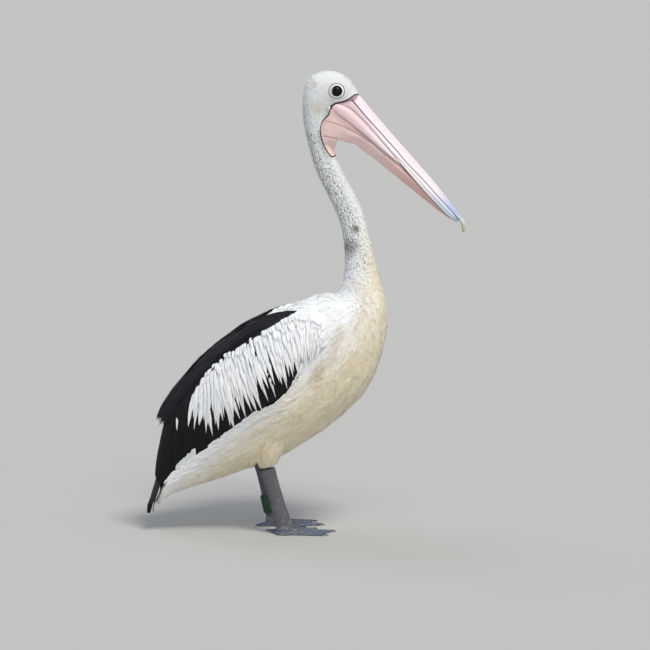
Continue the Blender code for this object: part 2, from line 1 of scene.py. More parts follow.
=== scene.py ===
"""Looks of a standing Australian pelican: skin, plumage, bill, eyes, legs and a plain studio.

Metres, +Z up, the bird looking along +X with its right side at -Y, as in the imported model.
"""

import math

import bmesh
import bpy
import numpy as np
from mathutils import Matrix, Vector
from mathutils.bvhtree import BVHTree
from mathutils.kdtree import KDTree


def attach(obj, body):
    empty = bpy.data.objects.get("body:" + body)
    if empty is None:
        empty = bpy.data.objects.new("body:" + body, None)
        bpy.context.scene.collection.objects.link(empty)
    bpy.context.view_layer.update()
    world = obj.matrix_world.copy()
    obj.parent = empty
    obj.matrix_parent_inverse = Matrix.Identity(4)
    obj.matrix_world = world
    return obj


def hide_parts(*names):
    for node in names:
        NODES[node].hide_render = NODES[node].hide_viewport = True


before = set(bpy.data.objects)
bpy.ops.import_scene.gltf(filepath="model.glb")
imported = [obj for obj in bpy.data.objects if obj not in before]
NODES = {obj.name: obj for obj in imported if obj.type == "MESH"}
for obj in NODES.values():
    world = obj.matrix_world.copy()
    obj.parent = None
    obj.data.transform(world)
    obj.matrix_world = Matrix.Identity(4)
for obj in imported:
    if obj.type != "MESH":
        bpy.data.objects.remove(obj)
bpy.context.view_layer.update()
SIDES = {"right": -1, "left": 1}
DICE = np.random.default_rng(20)

# ---- places, in side view: x and z ---------------------------------------------------------------
# The line through the middle of head, neck and trunk, from the forehead to the tail.
MIDLINE = np.array((
    (0.114, 0.975), (0.1035, 0.9835), (0.0885, 0.992), (0.071, 0.996), (0.053, 0.994),
    (0.037, 0.986), (0.028, 0.970), (0.023, 0.950), (0.021, 0.925), (0.029, 0.884),
    (0.046, 0.8275), (0.0753, 0.769), (0.1015, 0.7135), (0.115, 0.6575), (0.1228, 0.6085),
    (0.127, 0.565), (0.1258, 0.526), (0.1095, 0.5055), (0.075, 0.4595), (0.023, 0.3995),
    (-0.053, 0.3375), (-0.1285, 0.2835), (-0.1945, 0.236), (-0.249, 0.186), (-0.294, 0.136),
    (-0.322, 0.093), (-0.337, 0.060), (-0.350, 0.030),
))
# How the coat changes along that line: distance from the forehead, a feather's length, half its
# width, how far root and tip stand off the skin, and how dark the root is, in its own grey and painted shade.
COAT = np.array((
    (0.00, 0.0050, 0.0010, 0.0003, 0.0008, 0.00),
    (0.07, 0.0065, 0.0012, 0.0003, 0.0010, 0.06),
    (0.11, 0.0075, 0.0013, 0.0004, 0.0016, 0.30),
    (0.15, 0.0075, 0.0015, 0.0005, 0.0022, 0.60),
    (0.25, 0.0080, 0.0017, 0.0005, 0.0026, 0.75),
    (0.38, 0.0090, 0.0019, 0.0006, 0.0028, 0.85),
    (0.47, 0.0140, 0.0024, 0.0006, 0.0026, 0.65),
    (0.53, 0.0260, 0.0034, 0.0005, 0.0024, 0.25),
    (0.60, 0.0420, 0.0044, 0.0005, 0.0022, 0.06),
    (1.25, 0.0420, 0.0046, 0.0005, 0.0022, 0.06),
))
# The edge of the feathers round the face, from the forehead over the gape to the tip of the bib.
FACE_LINE = np.array((
    (0.1240, 0.9900), (0.1185, 0.9845), (0.1112, 0.9852), (0.1044, 0.9812), (0.0931, 0.9733),
    (0.0818, 0.9693), (0.0659, 0.9659), (0.0582, 0.9605), (0.0540, 0.9510), (0.0512, 0.9405),
    (0.0382, 0.9272), (0.0336, 0.9170), (0.0324, 0.9035), (0.0354, 0.8868), (0.0399, 0.8742),
    (0.0467, 0.8606), (0.0530, 0.8510), (0.0575, 0.8472), (0.0610, 0.8470), (0.0680, 0.8500),
))
# It is closed far out in front of the bill, into an outline of all that is bare.
FACE_FRONT = np.array((
    (0.0760, 0.8560), (0.0780, 0.8700), (0.2500, 0.6500), (0.5000, 0.5500), (0.5000, 1.0500),
))
# A rusty stain follows a line down the flank before the wing; the same brown along a line at the neck's base
# is painted shade.
FLANK_STAIN = np.array((
    (0.0770, 0.4660), (0.0680, 0.4460), (0.0530, 0.4080), (0.0320, 0.3880), (0.0200, 0.3520),
))
NECK_SHADE_LINE = np.array(((0.1120, 0.5600), (0.1300, 0.5350), (0.1240, 0.5050), (0.1150, 0.4800)))
# Sooty smudges on the right side: x, z, radius and how dark.
SMUDGES = ((0.017, 1.008, 0.010, 0.22), (0.1110, 0.6860, 0.009, 0.90), (0.0980, 0.6450, 0.020, 0.60))
EYE = np.array((0.069, 0.0262, 0.9935))   # x, how far from the midline, z
EYE_RADIUS = 0.0124
LID_RADIUS = 0.0182
LID_SQUASH = 0.98                      # the ring of lid skin is this much lower than it is long
THIGH_X = -0.074                       # the legs' middle, from the side
# Where the bill starts, the way it points and the way across it, upwards.
BILL_ROOT = np.array((0.120, 0.9816))
BILL_ALONG = np.array((0.6407, -0.7678))
BILL_UP = np.array((0.7678, 0.6407))
# Along the bill, how far from its root; then the levels of the side groove, the gape, the solid's
# lower edge, the lower jaw's foot as it shows, and the pouch's foot.
BILL_LINES = np.array((
    (-0.026, -0.0186, -0.0540, -0.0710, -0.0730, -0.1000),
    (-0.015, -0.0186, -0.0445, -0.0690, -0.0700, -0.1050),
    (0.003, -0.0185, -0.0350, -0.0645, -0.0648, -0.1165),
    (0.017, -0.0186, -0.0312, -0.0612, -0.0615, -0.1200),
    (0.043, -0.0185, -0.0289, -0.0540, -0.0548, -0.1060),
    (0.073, -0.0172, -0.0270, -0.0470, -0.0478, -0.0800),
    (0.105, -0.0160, -0.0266, -0.0412, -0.0424, -0.0690),
    (0.146, -0.0145, -0.0258, -0.0346, -0.0356, -0.0605),
    (0.178, -0.0148, -0.0266, -0.0292, -0.0275, -0.0525),
    (0.215, -0.0118, -0.0265, -0.0262, -0.0265, -0.0465),
    (0.250, -0.0096, -0.0258, -0.0228, -0.0258, -0.0415),
    (0.287, -0.0088, -0.0240, -0.0200, -0.0240, -0.0350),
    (0.323, -0.0066, -0.0218, -0.0167, -0.0218, -0.0270),
    (0.341, -0.0058, -0.0185, -0.0145, -0.0185, -0.0215),
    (0.358, -0.0070, -0.0125, -0.0120, -0.0125, -0.0165),
))
# Two shallow creases that fan out over the pouch from the gape.
FOLDS = (
    np.array((
        (0.0450, 0.9258), (0.0614, 0.9222), (0.0863, 0.9131), (0.1090, 0.9015), (0.1409, 0.8806),
    )),
    np.array(((0.0405, 0.8930), (0.0524, 0.8905), (0.0700, 0.8870))),
)
# How far the pouch's underside is tucked up, by x, between the two heights after it.
TUCK = np.array((
    (0.0655, 0.0), (0.0700, 0.0140), (0.0740, 0.0160), (0.0840, 0.0110), (0.0955, 0.0070),
    (0.1070, 0.0035), (0.1180, 0.0020), (0.1350, 0.0),
))
TUCK_LOW, TUCK_HIGH = 0.8605, 0.925


# ---- small tools ---------------------------------------------------------------------------------
def polyline_lengths(points):
    """How far along the line each of its points is."""
    return np.concatenate(([0.0], np.cumsum(np.linalg.norm(np.diff(points, axis=0), axis=1))))


def place_on(line, at):
    """The flat place at a length along a line."""
    lengths = polyline_lengths(line)
    return np.stack([np.interp(at, lengths, line[:, i]) for i in (0, 1)], -1)


def near_line(points, line):
    """For flat points: distance to the line, length along it, and its direction there."""
    starts, ways = line[:-1], np.diff(line, axis=0)
    spans = np.linalg.norm(ways, axis=1)
    best = np.full(len(points), 9.0)
    along = np.zeros(len(points))
    way = np.zeros((len(points), 2))
    for start, step, span, before in zip(starts, ways, spans, polyline_lengths(line)):
        unit = step / span
        share = np.clip((points - start) @ unit, 0, span)
        distance = np.linalg.norm(points - start - share[:, None] * unit, axis=1)
        closer = distance < best
        best[closer] = distance[closer]
        along[closer] = before + share[closer]
        way[closer] = unit
    return best, along, way


def inside(points, outline):
    """Which flat points lie inside a closed outline."""
    x, z = points[:, 0], points[:, 1]
    odd = np.zeros(len(points), bool)
    for (x0, z0), (x1, z1) in zip(outline, np.roll(outline, -1, axis=0)):
        if z0 == z1:
            continue
        crosses = ((z0 > z) != (z1 > z)) & (x < (x1 - x0) * (z - z0) / (z1 - z0) + x0)
        odd ^= crosses
    return odd


def ramp(value, low, high):
    """0 below low, 1 above high, smooth between; low may be the larger."""
    t = np.clip((value - low) / (high - low), 0, 1)
    return t * t * (3 - 2 * t)


def face_distance(points):
    """Signed distance to the face line in side view: below 0 on bare skin, above 0 in feathers."""
    flat = points[:, [0, 2]]
    distance = near_line(flat, FACE_LINE)[0]
    bare = inside(flat, np.vstack((FACE_LINE, FACE_FRONT)))
    return np.where(bare, -distance, distance)


def station(points):
    """Along the midline, and how far each point faces the back: 1 on the back, -1 on the belly."""
    _, along, way = near_line(points[:, [0, 2]], MIDLINE)
    off = points[:, [0, 2]] - place_on(MIDLINE, along)
    dorsal = off[:, 0] * way[:, 1] - off[:, 1] * way[:, 0]
    return along, dorsal / np.maximum(np.hypot(dorsal, points[:, 1]), 1e-6)


def body_unwrap(points):
    """Places on the bird's own skin, 0 to 1: round the body, cut along the belly, and along it."""
    along, dorsal = station(points)
    around = np.arccos(np.clip(dorsal, -1, 1)) * np.sign(points[:, 1]) / (2 * math.pi) + 0.5
    return around, along / polyline_lengths(MIDLINE)[-1]


def lie_of_coat(points):
    """The way feathers lie: from face to tail, but round the wing's front and down the thighs."""
    way = near_line(points[:, [0, 2]], MIDLINE)[2]
    apart, _, edge_way = near_line(points[:, [0, 2]], LOWER_EDGE[:5])
    round_wing = ramp(apart, 0.034, 0.010) * ramp(np.abs(points[:, 1]), 0.06, 0.08)
    way = way + (edge_way - way) * round_wing[:, None]
    ways = np.stack((way[:, 0], np.zeros(len(points)), way[:, 1]), 1)
    thigh = ramp(np.abs(points[:, 0] - THIGH_X), 0.050, 0.022) * ramp(points[:, 2], 0.245, 0.190)
    return ways * (1 - thigh[:, None]) + np.array((0, 0, -1)) * thigh[:, None]


def verts_of(mesh):
    """The places of a mesh's vertices."""
    found = np.empty(len(mesh.vertices) * 3)
    mesh.vertices.foreach_get("co", found)
    return found.reshape(-1, 3)


def normals_of(mesh):
    """The ways a mesh's vertices face."""
    found = np.empty(len(mesh.vertices) * 3)
    mesh.vertices.foreach_get("normal", found)
    return found.reshape(-1, 3)


def put_verts(mesh, points):
    """Moves a mesh's vertices to new places."""
    mesh.vertices.foreach_set("co", points.ravel())
    mesh.update()


def give(mesh, name, values):
    """Stores one number for each vertex, for the materials to read."""
    mesh.attributes.new(name, "FLOAT", "POINT").data.foreach_set("value", np.asarray(values, np.float32))


def mesh_of(bm, name):
    """A finished bmesh as a mesh."""
    mesh = bpy.data.meshes.new(name)
    bm.to_mesh(mesh)
    bm.free()
    return mesh


def object_of(mesh, name, *materials):
    """A mesh as an object in the scene, at the origin."""
    mesh.name = name
    for item in materials:
        mesh.materials.append(item)
    obj = bpy.data.objects.new(name, mesh)
    bpy.context.scene.collection.objects.link(obj)
    return obj


def merged_nodes(names, swell):
    """A bmesh of copies of CAD nodes, welded and grown a little so that they run together."""
    bm = bmesh.new()
    for name in names:
        bm.from_mesh(NODES[name].data)
    bmesh.ops.remove_doubles(bm, verts=bm.verts, dist=1e-6)
    bm.normal_update()
    grown = [vert.co + vert.normal * swell for vert in bm.verts]
    for vert, place in zip(bm.verts, grown):
        vert.co = place
    return bm


def evaluated(bm, *modifiers):
    """The bmesh as a mesh, after the modifiers: each is a kind and its settings."""
    mesh = mesh_of(bm, "helper")
    helper = object_of(mesh, "helper")
    for kind, settings in modifiers:
        modifier = helper.modifiers.new(kind, kind)
        for key, value in settings.items():
            setattr(modifier, key, value)
    graph = bpy.context.evaluated_depsgraph_get()
    made = bpy.data.meshes.new_from_object(helper.evaluated_get(graph))
    bpy.data.objects.remove(helper)
    bpy.data.meshes.remove(mesh)
    return made


def melted(names, voxel, smoothing, swell=0.0006):
    """CAD nodes melted into one closed, evenly meshed shape."""
    return evaluated(
        merged_nodes(names, swell),
        ("REMESH", dict(mode="VOXEL", voxel_size=voxel)),
        ("SMOOTH", dict(factor=0.5, iterations=smoothing)),
    )


def surface_of(*meshes):
    """A surface to lay things on, from one or more meshes."""
    points, faces = [], []
    for mesh in meshes:
        start = len(points)
        points += [vert.co.copy() for vert in mesh.vertices]
        faces += [[start + i for i in face.vertices] for face in mesh.polygons]
    return BVHTree.FromPolygons(points, faces)


# ---- materials -----------------------------------------------------------------------------------
def colour(text):
    """An sRGB hex value as linear red, green, blue, alpha."""
    parts = [int(text[i:i + 2], 16) / 255 for i in (1, 3, 5)]
    return (*[p / 12.92 if p <= 0.04045 else ((p + 0.055) / 1.055) ** 2.4 for p in parts], 1)


def add(tree, kind, links=None, out=0, **settings):
    """Adds a node and gives one of its outputs; links maps each input to a socket or a value."""
    node = tree.nodes.new("ShaderNode" + kind)
    for key, value in settings.items():
        setattr(node, key, value)
    for key, value in (links or {}).items():
        if isinstance(value, bpy.types.NodeSocket):
            tree.links.new(value, node.inputs[key])
        else:
            node.inputs[key].default_value = value
    return node.outputs[out]


# Settings that many nodes share: a mix of two colours, a soft step, a product.
TINT = dict(out=2, data_type="RGBA")
STEP = dict(interpolation_type="SMOOTHSTEP")
TIMES = dict(operation="MULTIPLY", use_clamp=True)


def surface(name, **fixed):
    """A new material, its tree and its shader, with the values that are the same all over set there."""
    made = bpy.data.materials.new(name)
    made.use_nodes = True
    shader = made.node_tree.nodes["Principled BSDF"]
    for key, value in fixed.items():
        shader.inputs[key.replace("_", " ")].default_value = value
    return made, made.node_tree, shader


def finished(tree, shader, tint, layers, height, depth, strength):
    """Lays layers of colour over a tint, each by its share, and raises a pattern as bump, in metres."""
    for share, over in layers:
        tint = add(tree, "Mix", {0: share, 6: tint, 7: colour(over)}, **TINT)
    tree.links.new(tint, shader.inputs["Base Color"])
    normal = add(tree, "Bump", {"Strength": strength, "Distance": depth, "Height": height})
    tree.links.new(normal, shader.inputs["Normal"])


def plumage_tint(tree):
    """The bird's pale markings, the same on skin and feathers.

    White over the back and wings, silver-grey on head and neck, cream from the neck's base to the
    belly with rusty stains and brown painted shade at the neck's base, each after a stored share
    between 0 and 1. Streaks follow the unwrap, so that they run the way the feathers lie.
    """
    lie = add(tree, "UVMap", uv_map="OFBake")
    # Streaks as wide as a feather's tip, about 5 mm, and as long as a hand.
    streaks = add(tree, "TexNoise", {
        "Vector": add(tree, "Mapping", {"Vector": lie, "Scale": (95, 9, 1)}),
        "Scale": 1.0, "Detail": 4.0, "Roughness": 0.6})
    at = add(tree, "TexCoord", out="Object")
    # Patches about 60 mm across, as stains spread over several feathers.
    patches = add(tree, "TexNoise", {"Vector": at, "Scale": 16.0, "Detail": 4.0})
    neck, cream, stain_and_shade, smudge, buff = (
        add(tree, "Attribute", out="Fac", attribute_name=name)
        for name in ("neck", "cream", "stain_and_shade", "smudge", "buff"))
    tint = add(tree, "Mix", {0: neck, 6: colour("#f5f7f9"), 7: colour("#f1f3f5")}, **TINT)
    fleece = add(tree, "Mix", {0: patches, 6: colour("#f6ecd6"), 7: colour("#e9d8b3")}, **TINT)
    tint = add(tree, "Mix", {0: cream, 6: tint, 7: fleece}, **TINT)
    darker = add(tree, "MapRange", {0: streaks, 1: 0.38, 2: 0.72, 3: 0.0, 4: 0.34}, **STEP)
    darker = add(tree, "Math", {0: darker, 1: cream}, **TIMES)
    # Rusty stains on flank, thigh and belly, and brown painted shade at the neck's base.
    rust_and_shade = add(tree, "MapRange", {0: streaks, 1: 0.28, 2: 0.72, 3: 0.15, 4: 1.0}, **STEP)
    rust_and_shade = add(tree, "Math", {0: rust_and_shade, 1: stain_and_shade}, **TIMES)
    soot = add(tree, "MapRange", {0: patches, 1: 0.30, 2: 0.55}, **STEP)
    soot = add(tree, "Math", {0: soot, 1: smudge}, **TIMES)
    for share, over in ((darker, "#c2ad84"), (rust_and_shade, "#a97f4d"), (buff, "#cdbf9f"), (soot, "#6a5f57")):
        tint = add(tree, "Mix", {0: share, 6: tint, 7: colour(over)}, **TINT)
    return tint


def contour_plumage():
    """Small body feathers: keratin barbs, matt and a little fluffy, greyer towards the root in their own grey
    and painted shade.
    """
    made, tree, shader = surface(
        "feather_barbs_contour", Roughness=0.8, Sheen_Weight=0.15, Sheen_Roughness=0.6,
        Specular_IOR_Level=0.2, Subsurface_Weight=0.10, Subsurface_Scale=0.003)
    share, depth, chance, offset = (
        add(tree, "Attribute", out="Fac", attribute_name=name)
        for name in ("share", "depth", "chance", "offset"))
    # Towards the root: the feather's own grey, and painted shade where the gaps between tufts would lie in
    # shadow.
    root = add(tree, "MapRange", {0: share, 1: 0.86, 2: 0.30}, **STEP)
    odd = add(tree, "MapRange", {0: chance, 1: 0.55, 2: 1.0, 3: 0.72, 4: 1.25}, **STEP)
    dark = add(tree, "Math", {0: add(tree, "Math", {0: root, 1: depth}, **TIMES), 1: odd}, **TIMES)
    tint = add(tree, "Mix", {0: dark, 6: plumage_tint(tree), 7: colour("#67656a")}, **TINT)
    value = add(tree, "MapRange", {0: chance, 1: 0.0, 2: 1.0, 3: 0.95, 4: 1.03})
    tint = add(tree, "HueSaturation", {"Value": value, "Color": tint})
    # Barbs leave the shaft at a slant, about 0.8 mm apart: coarser than real ones so that they show.
    middle = add(tree, "Math", {0: offset}, operation="ABSOLUTE")
    lean = add(tree, "Math", {0: middle, 1: -0.2}, operation="MULTIPLY")
    run = add(tree, "Math", {0: share, 1: lean}, operation="ADD")
    barbs = add(tree, "TexWave", {
        "Vector": add(tree, "CombineXYZ", {"X": run, "Y": chance}), "Scale": 8.0, "Distortion": 3.0,
        "Detail": 2.0}, out="Fac")
    finished(tree, shader, tint, (), barbs, 0.0004, 0.3)
    return made


def skin_under_plumage():
    """Down over skin: dull and rough, in the coat's own markings, black below the flight feathers, with
    painted shade where it shows between the feathers.
    """
    made, tree, shader = surface("down_over_skin", Roughness=0.92, Specular_IOR_Level=0.1)
    # Down lies in clumps about 4 mm across; single filaments are too fine to show.
    down = add(tree, "TexNoise", {
        "Vector": add(tree, "TexCoord", out="Object"), "Scale": 260.0, "Detail": 3.0})
    black, depth, face = (
        add(tree, "Attribute", out="Fac", attribute_name=name)
        for name in ("black", "depth", "face"))
    rim = add(tree, "MapRange", {0: face, 1: 0.0019, 2: 0.0013}, **STEP)
    # Painted shade on the skin between the feathers: in the down's clumps, and most where the roots are
    # darkest.
    shade = add(tree, "MapRange", {0: down, 1: 0.2, 2: 0.8, 3: 0.25, 4: 0.05}, **STEP)
    layers = ((shade, "#8b857a"), (depth, "#5d5b5c"), (black, "#0b0b0d"), (rim, "#2f2a38"))
    finished(tree, shader, plumage_tint(tree), layers, down, 0.0010, 0.5)
    return made


def bare_pouch_skin():
    """Thin stretchy skin of the throat pouch: pink-beige, slightly moist, creased in a few folds, with
    painted shade in its creases and under the jaw.
    """
    made, tree, shader = surface(
        "pouch_skin_stretched", Roughness=0.5, Subsurface_Weight=0.1, Subsurface_Scale=0.004,
        Specular_IOR_Level=0.35)
    at = add(tree, "TexCoord", out="Object")
    down, along, fold, face = (
        add(tree, "Attribute", out="Fac", attribute_name=name)
        for name in ("pouch_share", "bill_along", "fold", "face"))
    cloudy = add(tree, "TexNoise", {"Vector": at, "Scale": 34.0, "Detail": 3.0})
    # Pores 1.5 mm apart, coarser than real ones so that they show, and creases 2 to 3 mm apart that
    # run along the bill, with painted shade in them.
    pores = add(tree, "TexNoise", {"Vector": at, "Scale": 650.0, "Detail": 2.0})
    fine = add(tree, "TexNoise", {
        "Vector": add(tree, "Mapping", {"Vector": at, "Rotation": (0, -0.8755, 0), "Scale": (30, 60, 420)}),
        "Scale": 1.0, "Detail": 3.0})
    tint = add(tree, "Mix", {0: cloudy, 6: colour("#e9d0cf"), 7: colour("#ddc2c0")}, **TINT)
    layers = (
        # Redder to the front, painted shade along the top under the jaw, yellower at its foot.
        (add(tree, "MapRange", {0: along, 1: 0.10, 2: 0.26, 3: 0.0, 4: 0.6}, **STEP), "#d3a49a"),
        (add(tree, "MapRange", {0: down, 1: 0.24, 2: 0.02, 3: 0.0, 4: 0.45}, **STEP), "#a98582"),
        (add(tree, "MapRange", {0: down, 1: 0.84, 2: 1.1, 3: 0.0, 4: 0.12}, **STEP), "#ead6bb"),
        (add(tree, "MapRange", {0: pores, 1: 0.55, 2: 0.75, 3: 0.0, 4: 0.14}, **STEP), "#b08a84"),
        (add(tree, "MapRange", {0: fine, 1: 0.56, 2: 0.74, 3: 0.0, 4: 0.22}, **STEP), "#a98287"),
        # Painted shade in the two folds.
        (fold, "#87666c"),
        (add(tree, "MapRange", {0: face, 1: -0.0016, 2: -0.0008}, **STEP), "#2f2a38"),
    )
    relief = add(tree, "Math", {0: fine, 1: pores}, operation="ADD")
    finished(tree, shader, tint, layers, relief, 0.0006, 0.4)
    return made


def bill_horn():
    """Keratin sheath of the bill: smooth, satin, pink turning bluish at the tip, with painted shade near the
    head and in its side groove, and painted shadow along the gape and the jaw's foot.
    """
    made, tree, shader = surface(
        "keratin_bill_sheath", Roughness=0.36, Subsurface_Weight=0.12, Subsurface_Scale=0.003,
        Coat_Weight=0.12, Coat_Roughness=0.25)
    at = add(tree, "TexCoord", out="Object")
    along, groove, gape, foot, face = (
        add(tree, "Attribute", out="Fac", attribute_name=name)
        for name in ("bill_along", "groove", "gape", "foot", "face"))
    # Growth lines of the horn, 4 to 7 mm apart and about 55 mm long.
    grain = add(tree, "TexNoise", {
        "Vector": add(tree, "Mapping", {"Vector": at, "Rotation": (0, -0.8755, 0), "Scale": (18, 150, 260)}),
        "Scale": 1.0, "Detail": 4.0})
    # Below the gape, below the side groove, near the head, further out and at the tip.
    lower = add(tree, "MapRange", {0: gape, 1: 0.0004, 2: -0.0004}, **STEP)
    tint = add(tree, "Mix", {0: grain, 6: colour("#f8ecf5"), 7: colour("#f0dfe8")}, **TINT)
    side = add(tree, "MapRange", {0: groove, 1: 0.0, 2: -0.003}, **STEP)
    # Darker pink on the side plate near the head: painted shade.
    root_shade = add(tree, "MapRange", {0: along, 1: 0.13, 2: 0.0, 3: 0.0, 4: 0.8}, **STEP)
    bright = add(tree, "MapRange", {0: along, 1: 0.06, 2: 0.16, 3: 0.0, 4: 0.8}, **STEP)
    blue = add(tree, "MapRange", {0: along, 1: 0.255, 2: 0.335, 3: 0.0, 4: 0.9}, **STEP)
    jaw_pink = add(tree, "MapRange", {0: grain, 1: 0.35, 2: 0.7, 3: 0.25, 4: 0.8}, **STEP)
    # Painted shadow along the gape, stronger in front, and painted shade in the side groove.
    gape_shadow = add(tree, "MapRange", {0: along, 1: 0.12, 2: 0.22, 3: 0.45, 4: 0.95}, **STEP)
    groove_shade = add(tree, "MapRange", {0: along, 1: 0.02, 2: 0.20, 3: 1.0, 4: 0.85}, **STEP)
    wide = add(tree, "MapRange", {0: along, 1: 0.0, 2: 0.08, 3: 0.0026, 4: 0.0018})
    near_groove = add(tree, "Math", {0: groove}, operation="ABSOLUTE")
    near_gape = add(tree, "Math", {0: gape}, operation="ABSOLUTE")
    near_foot = add(tree, "MapRange", {0: foot, 1: 0.0045, 2: 0.0}, **STEP)
    rear = add(tree, "MapRange", {0: along, 1: 0.19, 2: 0.15, 3: 0.0, 4: 0.55}, **STEP)
    in_gape = add(tree, "MapRange", {0: near_gape, 1: 0.0015, 2: 0.0005}, **STEP)
    in_groove = add(tree, "MapRange", {0: near_groove, 1: wide, 2: 0.0004}, **STEP)
    layers = (
        (add(tree, "Math", {0: side, 1: root_shade}, **TIMES), "#e2c3cb"),
        (add(tree, "Math", {0: side, 1: bright}, **TIMES), "#fbf8fd"),
        (blue, "#a9b8e2"),
        (add(tree, "Math", {0: side, 1: blue}, **TIMES), "#dcecfb"),
        (add(tree, "MapRange", {0: along, 1: 0.335, 2: 0.356}, **STEP), "#b4cddd"),
        (add(tree, "Math", {0: lower, 1: jaw_pink}, **TIMES), "#eed6dd"),
        # Painted shadow along the lower jaw's foot in the rear, then along the gape, and painted shade in the
        # side groove.
        (add(tree, "Math", {0: near_foot, 1: rear}, **TIMES), "#7d5f6b"),
        (add(tree, "Math", {0: in_gape, 1: gape_shadow}, **TIMES), "#453a49"),
        (add(tree, "Math", {0: in_groove, 1: groove_shade}, **TIMES), "#38303f"),
        (add(tree, "MapRange", {0: face, 1: -0.0030, 2: -0.0018}, **STEP), "#2f2a38"),
    )
    finished(tree, shader, tint, layers, grain, 0.0006, 0.25)
    return made


def nail_horn():
    """Thick keratin of the hooked nail: pale yellow-grey, worn glossy, with fine growth lines."""
    made, tree, shader = surface("keratin_nail_hook", Roughness=0.3, Coat_Weight=0.2)
    at = add(tree, "TexCoord", out="Object")
    # Growth lines 3 mm apart, coarser than real ones so that they show.
    grain = add(tree, "TexNoise", {"Vector": at, "Scale": 320.0, "Detail": 3.0})
    height = add(tree, "Attribute", out="Fac", attribute_name="height")
    tint = add(tree, "Mix", {0: height, 6: colour("#b8a67c"), 7: colour("#d6e2e6")}, **TINT)
    lines = add(tree, "MapRange", {0: grain, 1: 0.4, 2: 0.7, 3: 0.0, 4: 0.35}, **STEP)
    finished(tree, shader, tint, ((lines, "#efe2b8"),), grain, 0.0003, 0.4)
    return made


def flight_feather(name, dark, light, wear_and_shade, shaft, gloss):
    """Long vanes: keratin barbs with a satin sheen, a shaft down the middle, and edges worn on black feathers
    and in painted blue-grey shade on white ones.
    """
    made, tree, shader = surface(name, Roughness=gloss, Specular_IOR_Level=0.2)
    share, chance, offset = (
        add(tree, "Attribute", out="Fac", attribute_name=name)
        for name in ("share", "chance", "offset"))
    middle = add(tree, "Math", {0: offset}, operation="ABSOLUTE")
    lean = add(tree, "Math", {0: middle, 1: -0.12}, operation="MULTIPLY")
    run = add(tree, "Math", {0: share, 1: lean}, operation="ADD")
    # Barbs about 1.5 mm apart, coarser than real ones so that they show.
    barbs = add(tree, "TexWave", {
        "Vector": add(tree, "CombineXYZ", {"X": run, "Y": chance}), "Scale": 11.0, "Distortion": 3.0,
        "Detail": 3.0, "Detail Scale": 3.0}, out="Fac")
    # Edges and barbs in the second colour: painted shade where the white plumes overlap, wear on the black
    # ones.
    edge = add(tree, "MapRange", {0: middle, 1: 0.55, 2: 1.0, 3: 0.0, 4: 0.75}, **STEP)
    rib = add(tree, "MapRange", {0: middle, 1: 0.10, 2: 0.03, 3: 0.0, 4: 0.5}, **STEP)
    rib = add(tree, "Math", {0: rib, 1: add(tree, "MapRange", {0: share, 1: 0.98, 2: 0.6})}, **TIMES)
    fine = add(tree, "MapRange", {0: barbs, 1: 0.0, 2: 0.6, 3: 0.28, 4: 0.0}, **STEP)
    tint = add(tree, "Mix", {0: chance, 6: colour(dark), 7: colour(light)}, **TINT)
    finished(tree, shader, tint, ((edge, wear_and_shade), (fine, wear_and_shade), (rib, shaft)), barbs, 0.0005, 0.35)
    return made


def leg_scutes():
    """Scaly skin of legs and webs: blue-grey leather in small plates, dusty and worn at the edges."""
    made, tree, shader = surface("leg_skin_scutes", Roughness=0.62, Specular_IOR_Level=0.35)
    at = add(tree, "TexCoord", out="Object")
    # Plates 3 mm across, as on the real shank and web, and dust that settles in spots of a centimetre.
    cells = add(tree, "TexVoronoi", {"Vector": at, "Scale": 330.0, "Randomness": 0.8}, out="Distance",
                feature="DISTANCE_TO_EDGE")
    cloudy = add(tree, "TexNoise", {"Vector": at, "Scale": 45.0, "Detail": 5.0, "Roughness": 0.65})
    dusty = add(tree, "TexNoise", {"Vector": at, "Scale": 90.0, "Detail": 5.0, "Roughness": 0.7})
    height = add(tree, "Attribute", out="Fac", attribute_name="height")
    tint = add(tree, "Mix", {0: cloudy, 6: colour("#4e5059"), 7: colour("#76747c")}, **TINT)
    low = add(tree, "MapRange", {0: height, 1: 0.13, 2: 0.0, 3: 0.20, 4: 0.55}, **STEP)
    dust = add(tree, "MapRange", {0: dusty, 1: 0.52, 2: 0.68}, **STEP)
    layers = (
        # Bluer webs, dark seams between the plates, dust most of all low down.
        (add(tree, "MapRange", {0: height, 1: 0.03, 2: 0.0, 3: 0.0, 4: 0.5}, **STEP), "#5f7797"),
        (add(tree, "MapRange", {0: cells, 1: 0.11, 2: 0.0, 3: 0.0, 4: 0.7}, **STEP), "#2e3138"),
        (add(tree, "Math", {0: dust, 1: low}, **TIMES), "#a99d88"),
    )
    plates = add(tree, "MapRange", {0: cells, 1: 0.0, 2: 0.2}, **STEP)
    finished(tree, shader, tint, layers, plates, 0.0006, 0.8)
    return made


def claw_horn():
    """Dark keratin claws, blunt and polished by walking."""
    made, tree, shader = surface("keratin_claw", Roughness=0.32)
    at = add(tree, "TexCoord", out="Object")
    # Fibres 2.5 mm apart, coarser than real ones so that they show.
    grain = add(tree, "TexNoise", {"Vector": at, "Scale": 400.0})
    tint = add(tree, "Mix", {0: grain, 6: colour("#1f1f22"), 7: colour("#4b4a48")}, **TINT)
    finished(tree, shader, tint, (), grain, 0.0002, 0.3)
    return made


